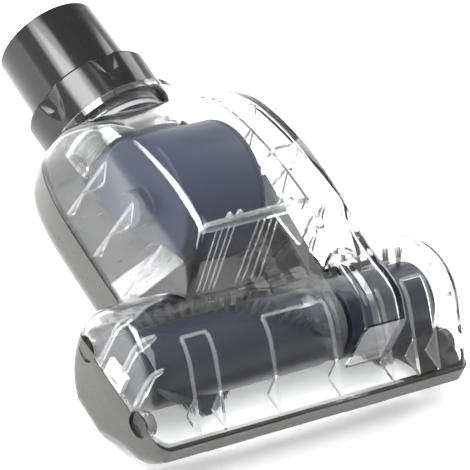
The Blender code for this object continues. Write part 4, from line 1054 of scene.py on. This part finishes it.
@dataclass
class SwivelNeck:
    """The neck tube and the locking collar with its leaf-shaped grips."""

    form: NeckForm
    leaf_depth: float = 1.9 * MM
    leaf_half: float = 5.6 * MM
    leaf_start: float = 4.2 * MM

    def tube(self) -> Piece:
        """Tube with a bead, a seal groove and a softly rounded mouth."""
        form = self.form
        radius, inner = form.tube, form.tube - form.wall
        groove, back = radius - 0.9 * MM, form.reach
        profile = [(-form.inside, inner), (-form.inside, radius), (form.bead_front, radius),
                   (form.bead_front, form.bead), (form.bead_back, form.bead), (form.bead_back, radius),
                   (-5.2 * MM, radius), (-5.2 * MM, groove), (-3.0 * MM, groove), (-3.0 * MM, radius),
                   (back, radius - 0.25 * MM), (back, inner + 0.5 * MM), (back - 6 * MM, inner)]
        return turned("neck_tube_gloss", rounded(profile, 0.6 * MM), form.base, form.axis, 160)

    def grip(self, angle: Array, along: Array) -> Array:
        """Depth of the leaf-shaped grips.

        A leaf is a half ellipse, open at the far rim and pointed towards the
        flange. Its depth falls off as 1 - (across / half width)^2.
        """
        form = self.form
        pitch = 2 * np.pi / form.scoops
        across = (np.mod(angle + 0.2 * pitch, pitch) - pitch / 2) * form.collar
        share = np.clip((along - self.leaf_start) / (form.collar_length - self.leaf_start), 0.0, 1.0)
        width = self.leaf_half * np.sqrt(share) + 1e-6
        leaf = np.clip(1 - (across / width) ** 2, 0.0, 1.0)
        return -self.leaf_depth * leaf * np.minimum(1.0, share * 2.2) * (along > 0.6 * MM)

    def collar(self) -> Piece:
        """Collar whose outer wall flares a little and carries the grips."""
        form = self.form
        lip, rim = form.tube + form.gap, form.collar + form.flare
        steps = 46
        stations = np.linspace(1.0 * MM, form.collar_length - 0.9 * MM, steps)
        outer = np.stack([stations, np.linspace(form.collar, rim, steps)], axis=1)
        start = [(form.gap, lip), (form.gap, form.collar - 0.9 * MM), (0.5 * MM, form.collar - 0.3 * MM)]
        stop = [(form.collar_length - 0.3 * MM, rim - 0.25 * MM), (form.collar_length, rim - 0.9 * MM),
                (form.collar_length, lip + 2.2 * MM), (form.collar_length, lip)]
        profile = np.vstack([start, outer, stop])
        wall = np.zeros(len(profile))
        wall[2:2 + steps + 3] = 1.0

        def radial(angle: Array, along: Array) -> Array:
            """Grip depth on the outer wall only."""
            return self.grip(angle, along) * wall[None, :]

        return turned("neck_collar_gloss", profile, form.base, form.axis, 360, radial)


@dataclass
class BrushRoller:
    """Roller core, its belt seat and the two helical rows of tufts."""

    radius: float = 14.0 * MM
    half: float = ROLLER_HALF
    seat: float = 8.8 * MM
    seat_width: float = 8.4 * MM
    reach: float = 6.9 * MM
    pitch: float = 164.0 * MM
    start: float = math.radians(108.0)
    spacing: float = 3.1 * MM
    filaments: int = 34

    def core(self) -> Piece:
        """Core with end bores, a belt seat and two fine parting grooves along its length."""
        left, right = BELT_X - self.seat_width / 2, BELT_X + self.seat_width / 2
        deep, bore, half, radius = 6.0 * MM, 4.9 * MM, self.half, self.radius
        profile = [(-half + deep, 0.0), (-half + deep, bore), (-half, bore), (-half, radius),
                   (left, radius), (left, self.seat), (right, self.seat), (right, radius),
                   (half, radius), (half, bore), (half - deep, bore), (half - deep, 0.0)]
        points = np.vstack([profile[:1], rounded(profile[1:-1], 0.9 * MM), profile[-1:]])

        def parting(angle: Array, along: Array) -> Array:
            """Two fine grooves, half a turn apart, where the moulding's halves meet."""
            nearest = np.abs(np.mod(angle - 0.95, np.pi) - np.pi / 2) * self.radius
            return -0.22 * MM * np.exp(-(nearest / (0.25 * MM)) ** 2)

        return turned("roller_core", points, (0.0, ROLLER_Y, ROLLER_Z), ALONG_X, 288, parting)

    def tufts(self, name: str, phase: float, start: float, stop: float) -> Piece:
        """One stretch of a helical row, as many thin tapered filaments.

        A tuft sits at each step of x, at the angle start + phase + 2 pi x / pitch.
        Its filaments start in a small disc and lean outwards as they rise, each
        with its own length, and each is a three-sided cone of two stages.

        Args:
            name: Name of the piece.
            phase: Where the row starts round the roller.
            start: First x.
            stop: Last x.
        """
        rng = np.random.default_rng(7)
        count = max(2, int((stop - start) / self.spacing))
        xs = np.repeat(np.linspace(start, stop, count), self.filaments)
        total = xs.size
        disc = np.sqrt(rng.random(total))
        spin = rng.random(total) * 2 * np.pi
        off_x, off_t = disc * np.cos(spin), disc * np.sin(spin)
        angle = self.start + phase + 2 * np.pi * xs / self.pitch
        out = np.stack([np.zeros(total), np.cos(angle), np.sin(angle)], axis=1)
        across = np.stack([np.zeros(total), -np.sin(angle), np.cos(angle)], axis=1)
        along = np.tile(np.array(ALONG_X), (total, 1))
        centre = np.stack([xs, np.full(total, ROLLER_Y), np.full(total, ROLLER_Z)], axis=1)
        length = self.reach * (1.0 - 0.10 * rng.random(total) - 0.08 * disc ** 2)
        turn = circle(3)
        rings = []
        for share, spread, thick in ((0.0, 0.8 * MM, 0.10 * MM), (0.55, 1.15 * MM, 0.10 * MM),
                                     (1.0, 1.5 * MM, 0.05 * MM)):
            middle = (centre + out * (self.radius - 0.4 * MM + (length + 0.4 * MM) * share)[:, None]
                      + along * (off_x * spread)[:, None] + across * (off_t * spread)[:, None])
            rings.append(middle[:, None] + along[:, None] * (thick * np.cos(turn))[None, :, None]
                         + across[:, None] * (thick * np.sin(turn))[None, :, None])
        points = np.stack(rings, axis=1).reshape(-1, 3)
        wall = grid_faces(3, 3)
        first = (np.arange(total) * 9)[:, None, None]
        walls = (first + wall[None]).reshape(-1, 4).tolist()
        ends = (first + np.array([[2, 1, 0], [6, 7, 8]])[None]).reshape(-1, 3).tolist()
        mesh = bpy.data.meshes.new(name)
        mesh.from_pydata((points - SHOP_SHIFT).tolist(), [], walls + ends)
        return placed(name, mesh)

    def rows(self) -> Dict[str, Piece]:
        """Both rows of tufts, each in a long and a short stretch beside the belt."""
        gap, end = self.seat_width / 2 + 2.4 * MM, self.half - 6 * MM
        spans = {"long": (-end, BELT_X - gap), "short": (BELT_X + gap, end)}
        return {f"{letter}_{word}": self.tufts(f"tufts_{letter}_{word}", phase, *span)
                for letter, phase in (("a", 0.0), ("b", math.pi)) for word, span in spans.items()}


@dataclass
class TurbineHousing:
    """Drum over the turbine, opened in front for the air, with its end plate and its outlet duct to the
    neck.
    """

    y: float = 89.5 * MM
    z: float = 37.9 * MM
    radius: float = 24.2 * MM
    wall: float = 1.8 * MM
    left: float = -24.2 * MM
    right: float = 11.1 * MM
    boss: float = 6.6 * MM
    seat: float = 5.3 * MM
    bearing: float = 4.0 * MM
    shaft: float = 3.0 * MM

    def about_shaft(self, name: str, profile: Sequence[Tuple[float, float]], segments: int = 144) -> Piece:
        """A profile turned about the turbine's shaft."""
        return turned(name, profile, (0.0, self.y, self.z), ALONG_X, segments)

    def drum(self) -> Piece:
        """Cup of the drum with its bearing boss and cap, opened in front and behind."""
        left, inner, far = self.left, self.radius - self.wall, self.right - self.wall - 0.3 * MM
        outer, near, end = left - self.bearing, left + 3 * MM, self.right - 4 * MM
        profile = [(left, self.shaft), (left + self.wall, self.shaft), (left + self.wall, inner),
                   (far, inner), (far, self.radius), (left, self.radius), (left, self.boss),
                   (outer, self.boss), (outer, self.seat), (left, self.seat)]
        drum = self.about_shaft("turbine_drum", rounded(profile, 1.1 * MM))
        cuts = [block("inlet", (near, 60 * MM, 20 * MM), (end, 76 * MM, 31 * MM)),
                block("outlet", (near, 101 * MM, 17 * MM), (end, 120 * MM, 40 * MM))]
        cap = self.about_shaft("cap", [
            (outer - 1.5 * MM, 0.0), (outer - 1.5 * MM, self.boss - 0.6 * MM),
            (outer - 0.4 * MM, self.boss), (outer, self.boss), (outer, 0.0)], 96)
        return gathered("turbine_drum", [combine(drum, cuts, "DIFFERENCE"), cap])

    def end_plate(self) -> Piece:
        """Plate that closes the drum on the belt's side, with its bearing boss."""
        right, face = self.right, self.right - self.wall
        deep = face + self.wall + self.bearing - 1 * MM
        profile = [(face, self.shaft), (face, self.radius), (right, self.radius), (right, self.boss),
                   (deep, self.boss), (deep, self.seat), (right, self.seat), (right, self.shaft)]
        return self.about_shaft("turbine_end", rounded(profile, 0.5 * MM))

    def outlet_duct(self) -> Piece:
        """Open duct from the drum's back to the neck.

        Rings stand square to Y. Each is a superellipse whose half sizes, centre and
        power run smoothly from a soft oblong at the drum to a circle at the neck;
        the inner skin is the same with the wall taken off.
        """
        t = np.linspace(0.0, 1.0, 18)
        ease = t * t * (3 - 2 * t)
        cos, sin = np.cos(circle(64)), np.sin(circle(64))

        def run(start: float, stop: float) -> Array:
            """A measure that eases from the drum to the neck."""
            return (start + (stop - start) * ease)[:, None]

        def skin(inset: float) -> Array:
            """Rings of one skin, moved inwards by inset."""
            power, middle, level = run(0.45, 1.0), run(-6.5 * MM, 0.0), run(38.0 * MM, 24.0 * MM)
            wide, tall = run(17.0 * MM, 20.2 * MM) - inset, run(15.5 * MM, 20.2 * MM) - inset
            x = middle + wide * np.sign(cos) * np.abs(cos) ** power
            z = level + tall * np.sign(sin) * np.abs(sin) ** power
            y = np.broadcast_to((103.0 * MM + 16.8 * MM * t)[:, None], x.shape)
            return np.stack([x, y, z], axis=-1)

        points = np.concatenate([skin(0.0), skin(self.wall)[::-1]])
        faces = grid_faces(points.shape[0], 64, wrap_rows=True)
        return mesh_piece("turbine_outlet_duct", points, faces.tolist())


@dataclass
class SmallWheels:
    """The two wheels under the rear body, with rounded treads."""

    x: float = 24.0 * MM
    y: float = 108.0 * MM
    radius: float = 6.0 * MM
    width: float = 6.5 * MM
    hole: float = 1.8 * MM

    def wheel(self, side: int) -> Piece:
        """A wheel with a rounded tread and a dished face."""
        half = self.width / 2
        profile = [(-half, self.hole), (-half, 2.8 * MM), (-half + 0.7 * MM, 3.2 * MM),
                   (-half + 0.7 * MM, 4.4 * MM), (-half, 4.8 * MM), (-half, self.radius),
                   (half, self.radius), (half, 4.8 * MM), (half - 0.7 * MM, 4.4 * MM),
                   (half - 0.7 * MM, 3.2 * MM), (half, 2.8 * MM), (half, self.hole)]
        word = "left" if side < 0 else "right"
        return turned(f"caster_{word}", rounded(profile, 0.5 * MM), (side * self.x, self.y, self.radius),
                      ALONG_X, 72)


KEPT_NODES = {
    "felt": ("neck_seal",),
    "pulley": ("roller_pulley", "drive_pulley"),
    "bronze": ("roller_bush_left", "roller_bush_right"),
    "white": ("bearing_block_left", "bearing_block_right", "turbine_wheel"),
    "rubber": ("drive_belt",),
    "steel": ("roller_pin_left", "roller_pin_right", "turbine_shaft", "turbine_bearing_left",
              "turbine_bearing_right", "caster_pin_left", "caster_pin_right"),
}


@dataclass
class Studio:
    """Pale floor, white surround, soft lamps and the camera of the photograph."""

    azimuth: float = math.radians(-53.447)
    elevation: float = math.radians(39.486)
    roll: float = math.radians(26.682)
    distance: float = 1.5
    scale: float = 2.997
    middle: float = 235.0
    anchor: Tuple[float, float] = (174.848, 450.528)
    target: Triple = (-65.45 * MM, 0.0, SEAM_Z)
    floor_glow: float = 0.28
    fill: float = 0.36
    ceiling: float = 0.24

    def camera(self) -> Piece:
        """Camera that puts the seam's front left corner on its pixel of the photograph."""
        a, e, r = self.azimuth, self.elevation, self.roll
        back = np.array((math.sin(a) * math.cos(e), -math.cos(a) * math.cos(e), math.sin(e)))
        level = np.array((math.cos(a), math.sin(a), 0.0))
        upright = np.cross(back, level)
        right = math.cos(r) * level + math.sin(r) * upright
        up = -math.sin(r) * level + math.cos(r) * upright
        focal = self.scale * self.distance / MM
        aside = (self.anchor[0] - self.middle) / focal * self.distance
        above = (self.middle - self.anchor[1]) / focal * self.distance
        place = np.array(self.target) + back * self.distance - right * aside - up * above - SHOP_SHIFT
        data = bpy.data.cameras.new("photo_camera")
        data.sensor_width = 36.0
        data.lens = focal / (2 * self.middle) * data.sensor_width
        data.clip_start, data.clip_end = 0.01, 50.0
        camera = placed("photo_camera", data)
        camera.matrix_world = Matrix.Translation(place) @ Matrix((right, up, back)).transposed().to_4x4()
        bpy.context.scene.camera = camera
        return camera

    @staticmethod
    def seen(graph: Graph) -> Socket:
        """One for camera, glossy and transmission rays, else nought."""
        path = graph.node("ShaderNodeLightPath").outputs
        both = graph.maths("MAXIMUM", path["Is Camera Ray"], path["Is Glossy Ray"])
        return graph.maths("MAXIMUM", both, path["Is Transmission Ray"])

    def floor(self) -> Piece:
        """A wide pale floor that shows white, with the object's shadow on it."""
        mesh = bpy.data.meshes.new("floor")
        corner = 6.0
        mesh.from_pydata([(-corner, -corner, 0), (corner, -corner, 0), (corner, corner, 0),
                          (-corner, corner, 0)], [], [(0, 1, 2, 3)])
        material, graph, shader = new_material("pale_floor")
        glow = graph.maths("MULTIPLY", self.seen(graph), self.floor_glow)
        graph.fill(shader, {"Base Color": (0.86, 0.86, 0.86, 1.0), "Roughness": 0.9,
                            "Specular IOR Level": 0.0, "Emission Color": (1.0, 1.0, 1.0, 1.0),
                            "Emission Strength": glow})
        mesh.materials.append(material)
        floor = placed("floor", mesh)
        return floor

    def surround(self) -> None:
        """White backdrop, a dim ceiling in reflections, and a plain soft fill for the rest.

        Reflections fade from white at the horizon to the ceiling's grey overhead,
        as in a room whose walls are white sheets and whose ceiling is dark.
        """
        world = bpy.data.worlds.new("white_studio")
        bpy.context.scene.world = world
        world.use_nodes = True
        graph = Graph(world.node_tree)
        path = graph.node("ShaderNodeLightPath").outputs
        plain = graph.maths("MAXIMUM", path["Is Camera Ray"], path["Is Transmission Ray"])
        direction = graph.node("ShaderNodeTexCoord").outputs["Generated"]
        height = graph.node("ShaderNodeSeparateXYZ", {0: direction})
        ramp = graph.node("ShaderNodeMapRange", {
            "Value": height.outputs["Z"], "From Min": 0.12, "From Max": 0.62, "To Min": 1.0,
            "To Max": self.ceiling}, interpolation_type="SMOOTHSTEP")
        mirror = graph.maths("MULTIPLY", ramp.outputs[0], path["Is Glossy Ray"])
        shown = graph.maths("MAXIMUM", plain, mirror)
        hidden = graph.maths("SUBTRACT", 1.0, graph.maths("MAXIMUM", plain, path["Is Glossy Ray"]))
        fill = graph.maths("MULTIPLY", hidden, self.fill)
        graph.fill(world.node_tree.nodes["Background"], {
            "Color": (1.0, 1.0, 1.0, 1.0), "Strength": graph.maths("ADD", shown, fill)})

    @staticmethod
    def lamp(name: str, place: Triple, aim: Triple, size: Tuple[float, float], power: float) -> Piece:
        """A soft rectangular lamp.

        Args:
            name: Name of the lamp.
            place: Where it stands.
            aim: What it points at.
            size: Width and height.
            power: Strength in watts.
        """
        data = bpy.data.lights.new(name, "AREA")
        data.shape = "RECTANGLE"
        data.size, data.size_y = size
        data.energy = power
        lamp = placed(name, data)
        lamp.location = place
        lamp.rotation_euler = (Vector(aim) - Vector(place)).to_track_quat("-Z", "Y").to_euler()
        lamp.visible_camera = False
        return lamp

    def lamps(self) -> None:
        """Broad soft lamps above, at the right and behind, and a small low one at the left."""
        self.lamp("softbox_above", (-0.30, -0.25, 1.4), (0, 0, 0), (1.3, 1.3), 20.0)
        self.lamp("softbox_right", (1.1, 0.35, 0.6), (0, 0, 0.03), (0.7, 0.5), 6.0)
        self.lamp("softbox_left", (-0.30, 0.10, 0.26), (-0.26, 0.04, 0.0), (0.34, 0.22), 3.0)
        self.lamp("softbox_behind", (-0.78, 0.60, 0.80), (0, 0.06, 0.03), (0.6, 0.6), 13.0)

    def build(self) -> None:
        """Set up the whole studio."""
        self.camera()
        self.floor()
        self.surround()
        self.lamps()
        bpy.context.scene.view_settings.view_transform = "Standard"


def main() -> None:
    """Build and dress every piece, then the studio."""
    logging.basicConfig(level=logging.INFO, format="%(message)s")
    group = moulded_group()
    looks = {name: finish.build(group) for name, finish in FINISHES.items()}
    neck, roller, housing, wheels = NeckForm(), BrushRoller(), TurbineHousing(), SmallWheels()
    hood = ClearHood(CasingForm(), neck, ClipForm())
    base = BlackBase(hood.form, neck, hood.clips, housing, wheels)
    swivel = SwivelNeck(neck)
    pieces = [
        (hood.build(), Body.CASING, "clear_plastic", "clear", ("clear_hood",), 24.0),
        (hood.inner_ribs(), Body.CASING, "clear_plastic", "rib", (), 24.0),
        (base.build(), Body.CASING, "black_plastic", "shell", ("base_shell",), 30.0),
        (base.latches(), Body.CASING, "black_plastic", "black", (), 28.0),
        (base.inner_deck(), Body.CASING, "black_plastic", "black", (), 28.0),
        (swivel.tube(), Body.NECK, "black_plastic", "neck", ("neck_tube",), 40.0),
        (swivel.collar(), Body.COLLAR, "black_plastic", "neck", ("neck_collar",), 34.0),
        (roller.core(), Body.ROLLER, "roller_plastic", "roller", ("brush_roller",), 35.0),
        *((row, Body.ROLLER, "bristle", "bristle", (f"bristle_row_{place}",), 60.0)
          for place, row in roller.rows().items()),
        (housing.drum(), Body.CASING, "inner_plastic", "inner", ("turbine_housing",), 30.0),
        (housing.end_plate(), Body.CASING, "inner_plastic", "inner", ("turbine_end_plate",), 30.0),
        (housing.outlet_duct(), Body.CASING, "inner_plastic", "inner", (), 28.0),
        (wheels.wheel(-1), Body.CASTER_LEFT, "wheel_plastic", "wheel", ("caster_wheel_left",), 40.0),
        (wheels.wheel(1), Body.CASTER_RIGHT, "wheel_plastic", "wheel", ("caster_wheel_right",), 40.0),
    ]
    for piece, body, slot, look, stands_for, angle in pieces:
        hang(piece, body, slot, looks[look], stands_for, angle)
    for look, nodes in KEPT_NODES.items():
        for node in nodes:
            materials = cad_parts[node].data.materials
            materials.clear()
            materials.append(looks[look])
    Studio().build()


if __name__ == "__main__":
    main()
